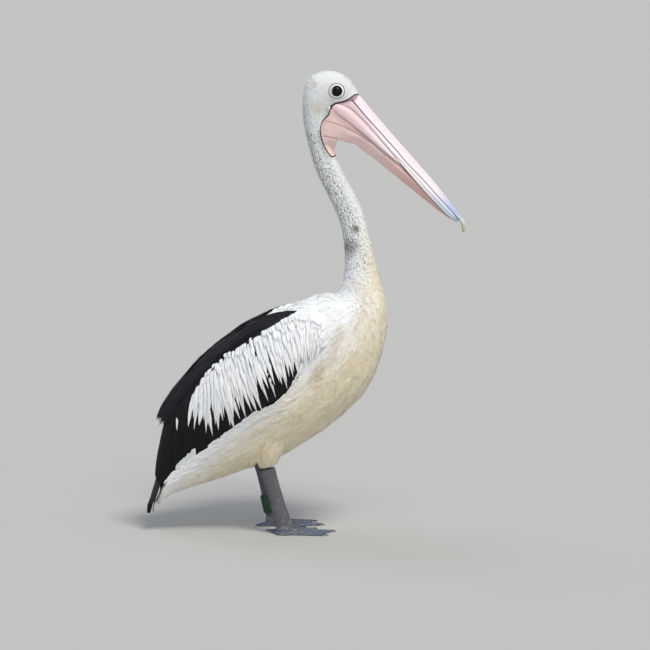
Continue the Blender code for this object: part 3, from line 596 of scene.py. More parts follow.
def wet_eye():
    """A moist eyeball: a clear bulging front over a dark brown iris and a wide black pupil."""
    made, tree, shader = surface(
        "eyeball_moist", Roughness=0.12, Specular_IOR_Level=0.12, Coat_Weight=0.25, Coat_Roughness=0.03)
    out = add(tree, "Attribute", out="Fac", attribute_name="eye_out")
    at = add(tree, "TexCoord", out="Object")
    # The iris is mottled about 1 mm apart; its rays are too fine to show.
    grain = add(tree, "TexNoise", {"Vector": at, "Scale": 900.0})
    tint = add(tree, "Mix", {0: grain, 6: colour("#0e0a09"), 7: colour("#21150f")}, **TINT)
    inner = add(tree, "MapRange", {0: out, 1: 0.0066, 2: 0.0058}, **STEP)
    outer = add(tree, "MapRange", {0: out, 1: 0.0088, 2: 0.0100}, **STEP)
    for share, over in ((inner, "#020203"), (outer, "#07080b")):
        tint = add(tree, "Mix", {0: share, 6: tint, 7: colour(over)}, **TINT)
    tree.links.new(tint, shader.inputs["Base Color"])
    return made


def lid_skin():
    """Bare ring of skin round the eye: pale blue-white, finely wrinkled, edged in grey."""
    made, tree, shader = surface("eyelid_skin_wrinkled", Roughness=0.5, Subsurface_Weight=0.15,
                                 Subsurface_Scale=0.002)
    out = add(tree, "Attribute", out="Fac", attribute_name="eye_out")
    at = add(tree, "TexCoord", out="Object")
    # Wrinkles 2 mm apart, coarser than real ones so that they show.
    wrinkles = add(tree, "TexNoise", {"Vector": at, "Scale": 480.0, "Detail": 3.0})
    tint = add(tree, "Mix", {0: wrinkles, 6: colour("#f7f7f6"), 7: colour("#dadde0")}, **TINT)
    inner = add(tree, "MapRange", {0: out, 1: 0.0128, 2: 0.0118}, **STEP)
    outer = add(tree, "MapRange", {0: out, 1: 0.0154, 2: 0.0168, 3: 0.0, 4: 0.9}, **STEP)
    finished(tree, shader, tint, ((inner, "#181b24"), (outer, "#565d6d")), wrinkles, 0.0004, 0.6)
    return made


def band_plastic():
    """Laminated plastic ring: dark green, moulded smooth, scuffed by wear."""
    made, tree, shader = surface("acrylic_leg_band", Roughness=0.38)
    at = add(tree, "TexCoord", out="Object")
    # Scuffs 2 mm wide and 12 mm long, up and down, as legs brush past reeds and stones.
    scuffs = add(tree, "TexNoise", {
        "Vector": add(tree, "Mapping", {"Vector": at, "Scale": (500, 500, 80)}), "Scale": 1.0, "Detail": 3.0})
    wear_and_shade = add(tree, "MapRange", {0: scuffs, 1: 0.55, 2: 0.8, 3: 0.0, 4: 0.5}, **STEP)
    tint = add(tree, "Mix", {0: wear_and_shade, 6: colour("#0a3d24"), 7: colour("#5f8a70")}, **TINT)
    finished(tree, shader, tint, (), scuffs, 0.0002, 0.3)
    return made


def studio_paper():
    """Matt pale paper, seamless."""
    made, tree, shader = surface("studio_paper_matt", Roughness=0.95, Specular_IOR_Level=0.1)
    at = add(tree, "TexCoord", out="Object")
    # Clouds of a third of a metre: paper's own fibres are too fine to show.
    fibre = add(tree, "TexNoise", {"Vector": at, "Scale": 3.0})
    tint = add(tree, "Mix", {0: fibre, 6: colour("#b6b6b5"), 7: colour("#b3b4b4")}, **TINT)
    tree.links.new(tint, shader.inputs["Base Color"])
    return made


# ---- the skin ------------------------------------------------------------------------------------
# Solids that run together into the skin: finely meshed ones, and broad ones.
FLESH_FINE = ("head", "neck_upper", "neck_middle", "pouch")
FLESH_BROAD = (
    "trunk", "neck_middle", "neck_lower", "thigh_right", "thigh_left", "wing_right", "wing_left",
)


def coat_depth(points):
    """How far the skin lies inside the outline: feathers are deep on the trunk, short on the head."""
    x, _, height = points.T
    deep = 0.0012 + 0.0016 * ramp(height, 0.93, 0.86) + 0.0008 * ramp(height, 0.62, 0.52)
    legs = ramp(height, 0.17, 0.21) + ramp(np.abs(x - THIGH_X), 0.045, 0.060)
    deep = deep * np.minimum(0.2 + 0.8 * legs, 1)
    return deep * ramp(face_distance(points), 0.0, 0.010)


def wing_black(points):
    """Where the skin lies under dark feathers: wings above and below the white plumes, and rump."""
    shells = surface_of(NODES["wing_right"].data, NODES["wing_left"].data)
    gap = np.array([shells.find_nearest(Vector(p))[3] for p in points])
    x, y, z = points.T
    edge, tips = height_on(STRIP_EDGE, x), height_on(PLUME_TIPS, x)
    above = ramp(z, edge - 0.008, edge)
    dark = np.maximum(np.maximum(ramp(z, tips + 0.030, tips + 0.010), above), ramp(x, -0.235, -0.250))
    near = np.maximum(ramp(gap, 0.012, 0.009), ramp(x, -0.09, -0.11) * above)
    black = near * ramp(x, -0.020, -0.030) * dark
    # None inside the strip's upper edge or below the wing.
    black *= ramp(np.abs(y), strip_inner(x) - 0.004, strip_inner(x))
    low = height_on(LOWER_EDGE, x)
    black *= np.maximum(ramp(z, low - 0.003, low + 0.003), ramp(np.abs(y), 0.035, 0.025))
    dorsal = station(points)[1]
    valley = ramp(x, -0.165, -0.180) * ramp(dorsal, 0.45, 0.55)
    return np.maximum(np.maximum(black, valley), ramp(x, -0.280, -0.290) * ramp(dorsal, 0.0, 0.2))


def store_markings(mesh):
    """Shares for the pale markings, from each vertex's place on the body."""
    points = verts_of(mesh)
    x, y, z = points.T
    dorsal = station(points)[1]
    give(mesh, "face", face_distance(points))
    give(mesh, "neck", ramp(z, 0.52, 0.62))
    # Cream starts a little under a line from the neck's base back along the wing's lower edge.
    below = (0.388 - z) * 0.75 + (x + 0.0125) * 0.66
    base = ramp(dorsal, 0.25, -0.75) * ramp(z, 0.72, 0.56)
    cream = np.maximum(0.9 * ramp(below, 0.0, 0.085), base * 0.8 * ramp(x, 0.03, 0.09))
    give(mesh, "cream", np.clip(cream, 0, 1))
    flank = ramp(near_line(points[:, [0, 2]], FLANK_STAIN)[0], 0.022, 0.003) * ramp(np.abs(y), 0.05, 0.07)
    # Brown painted shade along a line at the neck's base, in the stains' colour.
    neck_base_shade = ramp(near_line(points[:, [0, 2]], NECK_SHADE_LINE)[0], 0.030, 0.004) * ramp(np.abs(y), 0.02, 0.04)
    thigh = ramp(np.abs(x + 0.070), 0.055, 0.015) * ramp(z, 0.26, 0.20)
    belly = ramp(below, 0.0, 0.06)
    give(mesh, "stain_and_shade", np.clip(0.70 * flank + 0.35 * neck_base_shade + 0.10 * thigh + 0.12 * belly, 0, 1))
    smudge = sum(dark * ramp(np.hypot(x - sx, z - sz), r * 1.5, r * 0.3) for sx, sz, r, dark in SMUDGES)
    give(mesh, "smudge", np.clip(smudge, 0, 1) * ramp(y, 0.004, -0.004))
    give(mesh, "buff", 0.35 * ramp(np.hypot(x - 0.028, z - 0.955), 0.022, 0.004))
    return points


def unwrap(mesh):
    """A UV map laid out on the bird's own body, cut along the belly."""
    around, along = body_unwrap(verts_of(mesh))
    loops = np.empty(len(mesh.loops), int)
    mesh.loops.foreach_get("vertex_index", loops)
    u, v = around[loops], along[loops]
    for face in mesh.polygons:
        corners = slice(face.loop_start, face.loop_start + face.loop_total)
        if np.ptp(u[corners]) > 0.5:
            u[corners] = np.where(u[corners] < 0.5, 0.999, u[corners])
    mesh.uv_layers.new(name="OFBake").data.foreach_set("uv", np.stack((u, v), 1).ravel())


def shaped_face(mesh):
    """Tucks up the pouch behind the bill's root and presses its creases in."""
    points = verts_of(mesh)
    x, _, z = points.T
    free = (x > TUCK[0, 0]) & (z > TUCK_LOW) & (z < TUCK_HIGH)
    rise = np.where(free, np.interp(x, *TUCK.T) * np.clip((TUCK_HIGH - z) / 0.052, 0, 1) ** 1.7, 0)
    points[:, 2] += rise
    # The sides stay as wide as they were at that height.
    before = surface_of(mesh)
    sideways = ramp(np.abs(normals_of(mesh)[:, 1]), 0.3, 0.8)
    for i in np.flatnonzero(rise > 0.0002):
        hit = before.ray_cast(Vector((x[i], -0.1, points[i, 2])), Vector((0, 1, 0)))[0]
        if hit:
            wide = max(abs(hit.y), abs(points[i, 1])) - abs(points[i, 1])
            points[i, 1] += math.copysign(wide * sideways[i], points[i, 1])
    fold = np.zeros(len(points))
    for line in FOLDS:
        fold = np.maximum(fold, ramp(near_line(points[:, [0, 2]], line)[0], 0.0026, 0.0))
    fold *= ramp(face_distance(points), 0.0, -0.004)
    points -= normals_of(mesh) * fold[:, None] * 0.0009
    put_verts(mesh, points)


def make_skin():
    """One skin in place of the flesh, a coat's depth inside it, bare on pouch and bib."""
    fine = melted(FLESH_FINE, 0.0016, 6)
    broad = melted(FLESH_BROAD, 0.0040, 6)
    shaped_face(fine)
    for mesh in (fine, broad):
        points = verts_of(mesh)
        inward = coat_depth(points)
        if mesh is broad:
            inward += 0.003 * ramp(points[:, 2], 0.62, 0.70)
        put_verts(mesh, points - normals_of(mesh) * inward[:, None])
    points = verts_of(broad)
    x, _, z = points.T
    # Behind the black clump the wings' rear edge steps in.
    step = 0.35 * ramp(z, 0.095, 0.125) + 0.65 * ramp(z, 0.165, 0.205)
    points[:, 0] += 0.014 * ramp(x, -0.300, -0.322) * step * ramp(z, 0.262, 0.246)
    # The thighs end a little higher than their solids.
    points[:, 2] += 0.005 * ramp(z, 0.165, 0.148) * ramp(np.abs(x - THIGH_X), 0.045, 0.035)
    put_verts(broad, points)
    bm = bmesh.new()
    bm.from_mesh(broad)
    bm.from_mesh(fine)
    mesh = mesh_of(bm, "skin")
    points = store_markings(mesh)
    give(mesh, "black", wing_black(points))
    # Painted shade on the skin, three quarters of the roots' own grey and painted shade.
    give(mesh, "depth", root_grey_and_shade(points) * 0.75)
    along, level = bill_frame(points)
    jaw_foot, pouch_foot = bill_levels(along)[3:]
    give(mesh, "bill_along", along)
    give(mesh, "pouch_share", np.clip((jaw_foot - level) / (jaw_foot - pouch_foot), 0, 1.2))
    # The two folds, for their painted shade on the pouch.
    fold = sum(ramp(near_line(points[:, [0, 2]], line)[0], 0.0024, 0.0) * 0.6 for line in FOLDS)
    give(mesh, "fold", np.clip(fold, 0, 1))
    bare = face_distance(points) < 0
    skin = object_of(mesh, "skin", skin_under_plumage(), bare_pouch_skin())
    for face in mesh.polygons:
        face.material_index = int(all(bare[i] for i in face.vertices))
        face.use_smooth = True
    unwrap(mesh)
    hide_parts("head", "neck_upper", "neck_middle", "neck_lower", "trunk", "pouch",
                "thigh_right", "thigh_left")
    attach(skin, "root")
    return skin


# ---- bill, eyes, legs ----------------------------------------------------------------------------
def smooth_table(table):
    """A table of lines over its first column, resampled evenly and rounded."""
    step, reach = 0.002, 9
    at = np.arange(table[0, 0], table[-1, 0], step)
    rows = np.stack([np.interp(at, table[:, 0], column) for column in table.T[1:]])
    padded = np.pad(rows, ((0, 0), (reach, reach)), "edge")
    kernel = np.hanning(2 * reach + 3)[1:-1]
    rounded = [np.convolve(row, kernel / kernel.sum(), "valid") for row in padded]
    return np.stack((at, *rounded), 1)


BILL_CURVES = smooth_table(BILL_LINES)


def bill_levels(along):
    """The levels of groove, gape, solid's lower edge, jaw's foot and pouch's foot along the bill."""
    return [np.interp(along, BILL_CURVES[:, 0], curve) for curve in BILL_CURVES.T[1:]]


def bill_frame(points):
    """How far along the bill, and at what level across it, each point is."""
    flat = points[:, [0, 2]] - BILL_ROOT
    return flat @ BILL_ALONG, flat @ BILL_UP


def make_bill():
    """The horn of both jaws, closed: a grooved upper jaw over a rounded lower one."""
    mesh = melted(("bill_upper", "bill_lower"), 0.0011, 4, 0.0005)
    points = verts_of(mesh)
    along, level = bill_frame(points)
    groove, gape, solid_foot, foot, _ = bill_levels(along)
    # In the front half the horn reaches a little lower than its solid, over the pouch's top.
    share = np.clip((groove - level) / (groove - solid_foot), 0, 1.3)
    level_now = np.where(level < groove, groove - share * (groove - foot), level)
    points[:, [0, 2]] += BILL_UP * (level_now - level)[:, None]
    put_verts(mesh, points)
    level = level_now
    normals = normals_of(mesh)
    flank = ramp(np.abs(normals[:, 1]), 0.35, 0.75)
    ends = ramp(along, -0.020, 0.005) * ramp(along, 0.352, 0.325)
    # Cut into its sides: the groove 1.5 mm deep, and in the rear half the gape 1.3 mm deep.
    cut = 0.0015 * ramp(np.abs(level - groove), 0.0026, 0.0004) * ends
    closed = ramp(along, 0.190, 0.165)
    cut += 0.0013 * ramp(np.abs(level - gape), 0.0024, 0.0004) * closed * ends
    # Swelling out: the plate between them by 0.9 mm and the lower jaw, where it is tall, by 1.6 mm.
    plate = np.clip((groove - level) / (groove - gape), 0, 1)
    jaw = np.clip((gape - level) / np.maximum(gape - foot, 0.001), 0, 1)
    cut -= 0.0009 * np.sin(math.pi * plate) * ends
    tall = np.clip((gape - foot) / 0.014, 0, 1)
    cut -= 0.0016 * np.sin(math.pi * jaw) * tall * ramp(along, -0.026, -0.010)
    put_verts(mesh, points - normals * (cut * flank)[:, None])
    points = verts_of(mesh)
    along, level = bill_frame(points)
    # No groove is drawn within 3.5 mm of the midline, on the ridge and the underside.
    side = np.where(np.abs(points[:, 1]) < 0.0035, 1.0, 0.0)
    for name, values in (("bill_along", along), ("groove", level - groove + side),
                         ("gape", level - gape), ("foot", level - foot), ("face", face_distance(points))):
        give(mesh, name, values)
    mesh.shade_smooth()
    piece = object_of(mesh, "bill_sheath", bill_horn())
    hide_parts("bill_upper", "bill_lower")
    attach(piece, "root")


def refined_node(node, name, look, levels, swell=0.0):
    """A CAD node's copy, welded and rounded, and grown by the swell."""
    rounding = ("SUBSURF", dict(levels=levels, render_levels=levels))
    mesh = evaluated(merged_nodes((node,), swell), rounding)
    mesh.shade_smooth()
    piece = object_of(mesh, name, look)
    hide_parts(node)
    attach(piece, "root")
    return piece


def make_nail():
    """The hooked nail, drawn out to a point below the bill's tip."""
    piece = refined_node("bill_nail", "bill_nail_hook", nail_horn(), 2, 0.0008)
    points = verts_of(piece.data)
    top = points[:, 2].max()
    down = (top - points[:, 2]) / np.ptp(points[:, 2])
    # 3 mm further forwards and 7 mm further down at its point.
    points[:, 0] += 0.0030 * down
    points[:, 2] -= 0.0070 * down
    put_verts(piece.data, points)
    give(piece.data, "height", 1 - down)


def make_eyes(skin_shape):
    """A wet eyeball and a dished ring of lid skin that lies on the head round it."""
    eye_look, lid_look = wet_eye(), lid_skin()
    ring = (  # how far out from the eye's middle, and how far above the head's own surface
        (0.0110, -0.0030), (0.0111, 0.0012), (0.0115, 0.0024), (0.0122, 0.0026), (0.0130, 0.0018),
        (0.0142, 0.0011), (0.0156, 0.0012), (0.0164, 0.0017), (0.0172, 0.0016), (0.0179, 0.0004),
        (LID_RADIUS, -0.0030),
    )
    for side, sign in SIDES.items():
        centre = Vector((EYE[0], sign * EYE[1], EYE[2]))
        bm = bmesh.new()
        bmesh.ops.create_uvsphere(bm, u_segments=48, v_segments=32, radius=EYE_RADIUS)
        bmesh.ops.rotate(bm, verts=bm.verts, matrix=Matrix.Rotation(math.pi / 2, 3, "X"))
        bmesh.ops.translate(bm, verts=bm.verts, vec=centre)
        mesh = mesh_of(bm, "eyeball")
        points = verts_of(mesh)
        give(mesh, "eye_out", np.hypot(points[:, 0] - EYE[0], points[:, 2] - EYE[2]))
        mesh.shade_smooth()
        ball = object_of(mesh, "eyeball_" + side, eye_look)
        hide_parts("eye_" + side)
        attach(ball, "root")

        bm = bmesh.new()
        chain = [bm.verts.new((out, 0, rise)) for out, rise in ring]
        edges = [bm.edges.new(pair) for pair in zip(chain, chain[1:] + chain[:1])]
        bmesh.ops.spin(bm, geom=chain + edges, axis=(0, 0, 1), cent=(0, 0, 0), dvec=(0, 0, 0),
                       angle=2 * math.pi, steps=72, use_merge=True, use_duplicate=False)
        for vert in bm.verts:
            x, rise, z = vert.co.x + centre.x, vert.co.z, vert.co.y * LID_SQUASH + centre.z
            start = Vector((x, sign * 0.09, z))
            hit = skin_shape.ray_cast(start, Vector((0, -sign, 0)))[0]
            level = hit.y if hit else sign * 0.030
            vert.co = (x, level + sign * rise, z)
        bmesh.ops.recalc_face_normals(bm, faces=bm.faces)
        mesh = mesh_of(bm, "lids")
        points = verts_of(mesh)
        give(mesh, "eye_out", np.hypot(points[:, 0] - EYE[0], (points[:, 2] - EYE[2]) / LID_SQUASH))
        mesh.shade_smooth()
        lids = object_of(mesh, "eyelids_" + side, lid_look)
        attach(lids, "root")


def make_legs():
    """Bare legs and webbed feet as one skin a side, lying flat on the ground."""
    look, claw_look = leg_scutes(), claw_horn()
    for side in SIDES:
        mesh = melted(("shank_" + side, "foot_" + side), 0.0013, 4, 0.0006)
        points = verts_of(mesh)
        # Between foot and heel the shank is 1.4 mm deeper at front and back than its solid.
        deeper = 0.0014 * ramp(points[:, 2], 0.022, 0.045) * ramp(points[:, 2], 0.150, 0.120)
        points += normals_of(mesh) * deeper[:, None] * (1, 0.3, 0)
        points[:, 2] = np.maximum(points[:, 2], 0)
        put_verts(mesh, points)
        give(mesh, "height", points[:, 2])
        mesh.shade_smooth()
        leg = object_of(mesh, "leg_skin_" + side, look)
        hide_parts("shank_" + side, "foot_" + side)
        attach(leg, "root")
        for toe in ("outer", "middle", "inner", "hind"):
            node = f"claw_{toe}_{side}"
            refined_node(node, node + "_horn", claw_look, 1)
    NODES["leg_band"].material_slots[0].material = band_plastic()


# ---- feathers ------------------------------------------------------------------------------------
def scatter(mesh, spacing, chosen):
    """Even places on a mesh where chosen allows, no two nearer to each other than the spacing."""
    points = verts_of(mesh)
    mesh.calc_loop_triangles()
    corners = np.empty(len(mesh.loop_triangles) * 3, int)
    mesh.loop_triangles.foreach_get("vertices", corners)
    a, b, c = (points[corners.reshape(-1, 3)[:, i]] for i in range(3))
    middle = chosen((a + b + c) / 3)
    a, b, c = a[middle], b[middle], c[middle]
    area = np.linalg.norm(np.cross(b - a, c - a), axis=1) / 2
    # Four tries for each square of that spacing fill the surface evenly.
    count = int(area.sum() / spacing ** 2 * 4)
    pick = DICE.choice(len(a), count, p=area / area.sum())
    u, v = DICE.random((2, count, 1))
    flip = u + v > 1
    u, v = np.where(flip, 1 - u, u), np.where(flip, 1 - v, v)
    spots = a[pick] * (1 - u - v) + b[pick] * u + c[pick] * v
    tree = KDTree(count)
    for i, spot in enumerate(spots):
        tree.insert(spot, i)
    tree.balance()
    free = np.ones(count, bool)
    kept = []
    for i, spot in enumerate(spots):
        if free[i]:
            kept.append(i)
            for _, other, _ in tree.find_range(spot, spacing):
                free[other] = False
    return spots[kept]


def walked(shape, roots, ways, lengths, shares):
    """Lines laid over a surface from their roots. Returns their points and the normals there."""
    spines = np.empty((len(roots), len(shares), 3))
    ups = np.empty_like(spines)
    for i, (root, way, length) in enumerate(zip(roots, ways, lengths)):
        spot, up = shape.find_nearest(Vector(root))[:2]
        way = Vector(way)
        before = 0.0
        for k, share in enumerate(shares):
            if share > before:
                flat = (way - up * way.dot(up)).normalized()
                spot, up = shape.find_nearest(spot + flat * (length * (share - before)))[:2]
                before = share
            spines[i, k] = spot
            ups[i, k] = up
    return spines, ups


def evened(rows):
    """Evens out values along each feather, so that it bends softly over small faces."""
    for _ in range(2):
        first, last = 2 * rows[:, :1] - rows[:, 1:2], 2 * rows[:, -1:] - rows[:, -2:-1]
        padded = np.concatenate((first, rows, last), axis=1)
        rows = (padded[:, :-2] + 2 * padded[:, 1:-1] + padded[:, 2:]) / 4
    return rows


def unit(rows):
    """Directions, each one long."""
    return rows / np.linalg.norm(rows, axis=-1, keepdims=True)


def feathers(name, spines, ups, half_widths, outline, offsets, camber, look, node=None,
             ragged=0.0, tilt=0.0, thick=0.08):
    """Closed vanes along given lines, as one piece.

    outline is the share of the half-width at each step along, and offsets are the places across.
    camber says how far the edges curl down, tilt how far one edge stands above the other, thick how
    far the middle stands up and ragged how uneven the edges are, all as shares of the half-width.
    """
    count, steps = spines.shape[:2]
    across_count = len(offsets)
    side = unit(np.cross(ups, unit(np.gradient(spines, axis=1))))
    offsets = np.asarray(offsets)
    outline = np.asarray(outline)
    width = np.asarray(half_widths).reshape(-1, 1, 1) * outline.reshape(1, -1, 1)
    wobble = 1 + ragged * DICE.normal(size=(count, steps, across_count)) * np.abs(offsets)
    reach = width * offsets * wobble
    # Slimmer where the outline narrows, at root and tip.
    slim = np.minimum(outline * 1.4, 1).reshape(1, -1, 1)
    middle = thick * np.asarray(half_widths).reshape(-1, 1, 1) * (1 - offsets ** 2)
    lean = np.reshape(tilt, (-1, 1, 1)) * width * offsets
    rise = (middle - camber * width * offsets ** 2) * slim + lean
    points = spines[:, :, None] + side[:, :, None] * reach[..., None] + ups[:, :, None] * rise[..., None]
    points = points.reshape(-1, 3)

    # Each vane is a flat tube: its rings are the steps along, and the last side closes it below.
    ring = np.arange(across_count)
    quads = []
    for k in range(steps - 1):
        low, high = k * across_count + ring, (k + 1) * across_count + ring
        quads.append(np.stack((low, np.roll(low, -1), np.roll(high, -1), high), 1))
    quads = np.concatenate(quads)
    start = np.arange(count)[:, None, None] * (steps * across_count)
    quads = (start + quads[None]).reshape(-1, 4)
    caps = np.stack((ring[::-1], (steps - 1) * across_count + ring))
    caps = (start + caps[None]).reshape(-1, across_count)

    mesh = bpy.data.meshes.new(name)
    mesh.from_pydata(points, [], quads.tolist() + caps.tolist())
    mesh.update()
    # On the unwrap each feather is a small patch at its root's place.
    around, along = body_unwrap(spines[:, 0])
    u = around[:, None, None] + PATCH / 2 * offsets + np.zeros((count, steps, 1))
    v = along[:, None, None] + PATCH / 2 * np.linspace(-1, 1, steps).reshape(1, -1, 1) + 0 * u
    loops = np.empty(len(mesh.loops), int)
    mesh.loops.foreach_get("vertex_index", loops)
    uv = np.stack((u.ravel(), v.ravel()), 1)[loops]
    mesh.uv_layers.new(name="OFBake").data.foreach_set("uv", uv.ravel())
    whole = (count, steps, across_count)
    give(mesh, "share", np.broadcast_to(np.linspace(0, 1, steps).reshape(1, -1, 1), whole).ravel())
    give(mesh, "offset", np.broadcast_to(offsets, whole).ravel())
    give(mesh, "chance", np.broadcast_to(DICE.random((count, 1, 1)), whole).ravel())
    mesh.shade_smooth()
    mesh.set_sharp_from_angle(angle=math.radians(50))
    piece = object_of(mesh, name, look)
    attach(piece, "root")
    if node:
        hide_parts(node)
    return piece


PATCH = 0.003                          # size of a feather's patch on the unwrap
# Small feathers: places along them and across them, and two outlines.
SMALL_SHARES = (0.0, 0.25, 0.55, 0.82, 1.0)
EDGES = (-1, 0, 1)
BLUNT = (0.55, 0.95, 1.0, 0.88, 0.35)
SILKY = (0.55, 0.95, 1.0, 0.78, 0.12)


def root_grey_and_shade(points):
    """How dark the roots of feathers are, in own grey and painted shade: most on the back and sides of the
    neck, in slanting rows.
    """
    along, dorsal = station(points)
    dark = np.interp(along, COAT[:, 0], COAT[:, 5])
    front = ramp(dorsal, -0.75, -0.05)
    wander = 0.0012 * np.sin(points[:, 0] * 310 + 2 * np.sin(points[:, 2] * 170))
    # Painted shade in rows 6.2 mm apart, as far as the tips of the short neck feathers are.
    rows = 0.5 + 0.5 * np.sin((along + 0.55 * dorsal * 0.02 + wander) * 2 * math.pi / 0.0062)
    rows = 0.35 + 0.65 * ramp(rows, 0.2, 0.8)
    return dark * np.where(along < 0.56, (0.10 + 0.90 * front) * rows, 1)


def contour_coat(name, skin, shape, spacing, chosen, look, outline, curl, way_of=lie_of_coat,
                 spread=0.07, longer=1.0, thick=0.05, raised=0.0):
    """A coat of small feathers over the skin, its sizes taken from how far along the bird each is.

    curl says how late the feathers rise towards their tips, spread how much their ways differ,
    longer how much longer they are than usual there and raised how far the whole coat stands off.
    """
    roots = scatter(skin, spacing, chosen)
    along, dorsal = station(roots)
    length, half, low, high = (np.interp(along, COAT[:, 0], COAT[:, i]) for i in (1, 2, 3, 4))
    # Down the nape the tips stand off, so that its outline is ragged.
    high = high * (1 + ramp(dorsal, 0.5, 0.9) * ramp(along, 0.06, 0.11) * ramp(along, 0.42, 0.20))
    # Smaller round face and eye, and on the legs.
    bare = np.minimum(face_distance(roots), eye_distance(roots))
    small = 0.45 + 0.55 * ramp(bare, 0.001, 0.016)
    x, _, z = roots.T
    legs = 0.30 + 0.70 * np.maximum(ramp(z, 0.155, 0.205), ramp(np.abs(x - THIGH_X), 0.045, 0.060))
    ways = way_of(roots)
    ways = ways + DICE.normal(0, spread, ways.shape) * (0.35 + 0.65 * small[:, None])
    lengths = length * longer * small * legs * DICE.uniform(0.8, 1.2, len(roots))
    spines, ups = walked(shape, roots, ways, lengths, SMALL_SHARES)
    ups = unit(evened(ups))
    rise = low[:, None] + (high - low)[:, None] * np.array(SMALL_SHARES) ** curl
    rise = rise * (small * DICE.uniform(0.7, 1.15, len(roots)))[:, None] + raised
    spines = spines + ups * rise[..., None]
    widths = half * (0.6 + 0.4 * small) * DICE.uniform(0.8, 1.2, len(roots))
    piece = feathers(name, spines, ups, widths, outline, EDGES, 0.02, look, thick=thick)
    store_markings(piece.data)
    # Own grey and painted shade at the roots, as on the skin below.
    give(piece.data, "depth", np.repeat(root_grey_and_shade(roots), spines.shape[1] * len(EDGES)))


def eye_distance(points):
    """How far each point is outside the ring of lid skin, in side view."""
    return np.hypot(points[:, 0] - EYE[0], (points[:, 2] - EYE[2]) / LID_SQUASH) - LID_RADIUS


def make_coat(skin, back, flank):
    """Short tufts on head and neck, longer vanes on the body, smallest round face and legs."""
    look = contour_plumage()
    mesh = skin.data
    shape = surface_of(mesh)
    wings = surface_of(NODES["wing_right"].data, NODES["wing_left"].data)

    def grows(points):
        """Off the bare face and legs, and off the rump, which the wings cover."""
        leg = (np.abs(points[:, 0] - THIGH_X) > 0.045) | (points[:, 2] > 0.162)
        dorsal = station(points)[1]
        rump = (points[:, 0] < -0.285) & (dorsal > 0.1) | (points[:, 0] < -0.170) & (dorsal > 0.5)
        return (face_distance(points) > 0.0021) & (eye_distance(points) > -0.0006) & leg & ~rump

    def on_wing(points):
        """Under the wing's plumes and flight feathers."""
        x, y, z = points.T
        near = np.array([wings.find_nearest(Vector(p))[3] for p in points])
        strip = (x < -0.09) & (z > height_on(STRIP_EDGE, x))
        behind = x < LOWER_EDGE[0, 0]
        low = np.where(behind, height_on(LOWER_EDGE, x) - 0.002, height_on(PLUME_TIPS, x) - 0.004)
        return (((near < 0.009) & (z > low)) | strip) & (np.abs(y) > strip_inner(x))

    def between(low, high, points):
        """Along the midline, from low to high."""
        along, _ = station(points)
        return grows(points) & (along >= low) & (along < high)

    def shoulder(points):
        """In front of the plumes, clear of the black strip."""
        x, _, z = points.T
        above = np.where(x > 0.0, 0.004, 0.040)
        clear = (x > -0.018) | (z < height_on(STRIP_EDGE, x) - 0.006)
        return (x > -0.035) & (z > height_on(PLUME_TIPS, x) + above) & clear & on_wing(points)

    def shoulder_top(points):
        """The top of the shoulder, before the black strip."""
        x, y, z = points.T
        front = np.hypot(x - 0.004, z - 0.462) > 0.030
        return (x > -0.018) & (x < 0.044) & (z > 0.455) & front & (np.abs(y) > 0.060) & on_wing(points)

    def mantle(points):
        """The white wedge between the black strips."""
        x, y, z = points.T
        inside_strip = np.abs(y) < strip_inner(x) - 0.003 * ramp(x, -0.03, -0.06)
        return (x > -0.150) & (x < 0.03) & inside_strip & (z > height_on(STRIP_EDGE, x))

    def converging(points):
        """On the mantle feathers lie back and in, towards the tip of the white wedge."""
        ways = lie_of_coat(points)
        ways[:, 1] = -np.sign(points[:, 1]) * 0.45 * ramp(np.abs(points[:, 1]), 0.008, 0.030)
        return ways

    def hanging(points):
        """On the wing feathers lie with the plumes."""
        slant = np.radians(np.interp(points[:, 0], *PLUME_SLANT.T) - 12)
        return np.stack((np.sin(slant), np.zeros(len(points)), -np.cos(slant)), 1)

    def off_wing(low, high):
        """Along the midline, from low to high, where no wing lies."""
        return lambda points: between(low, high, points) & ~on_wing(points)

    def head(points):
        """From the forehead to the top of the neck."""
        return between(0, 0.165, points)

    def neck(points):
        """From the top of the neck to its base."""
        return between(0.16, 0.545, points)

    contour_coat("feathers_head", mesh, shape, 0.0021, head, look, BLUNT, 2.0, spread=0.10, thick=0.12)
    contour_coat("feathers_neck", mesh, shape, 0.0026, neck, look, BLUNT, 2.2, spread=0.22, thick=0.12)
    contour_coat("feathers_breast", mesh, shape, 0.0052, off_wing(0.535, 0.80), look, SILKY, 1.3)
    contour_coat("feathers_belly", mesh, shape, 0.0052, off_wing(0.79, 2.0), look, SILKY, 1.3)
    contour_coat("feathers_shoulder", mesh, shape, 0.0046, shoulder, look, SILKY, 1.3, hanging, longer=0.6)
    contour_coat("feathers_scapular_front", flank, surface_of(flank), 0.0044, shoulder_top, look, SILKY, 1.3,
                 hanging, longer=0.62, raised=0.0016)
    contour_coat("feathers_mantle", back, surface_of(back), 0.0050, mantle, look, SILKY, 1.3, converging,
                 longer=0.65)


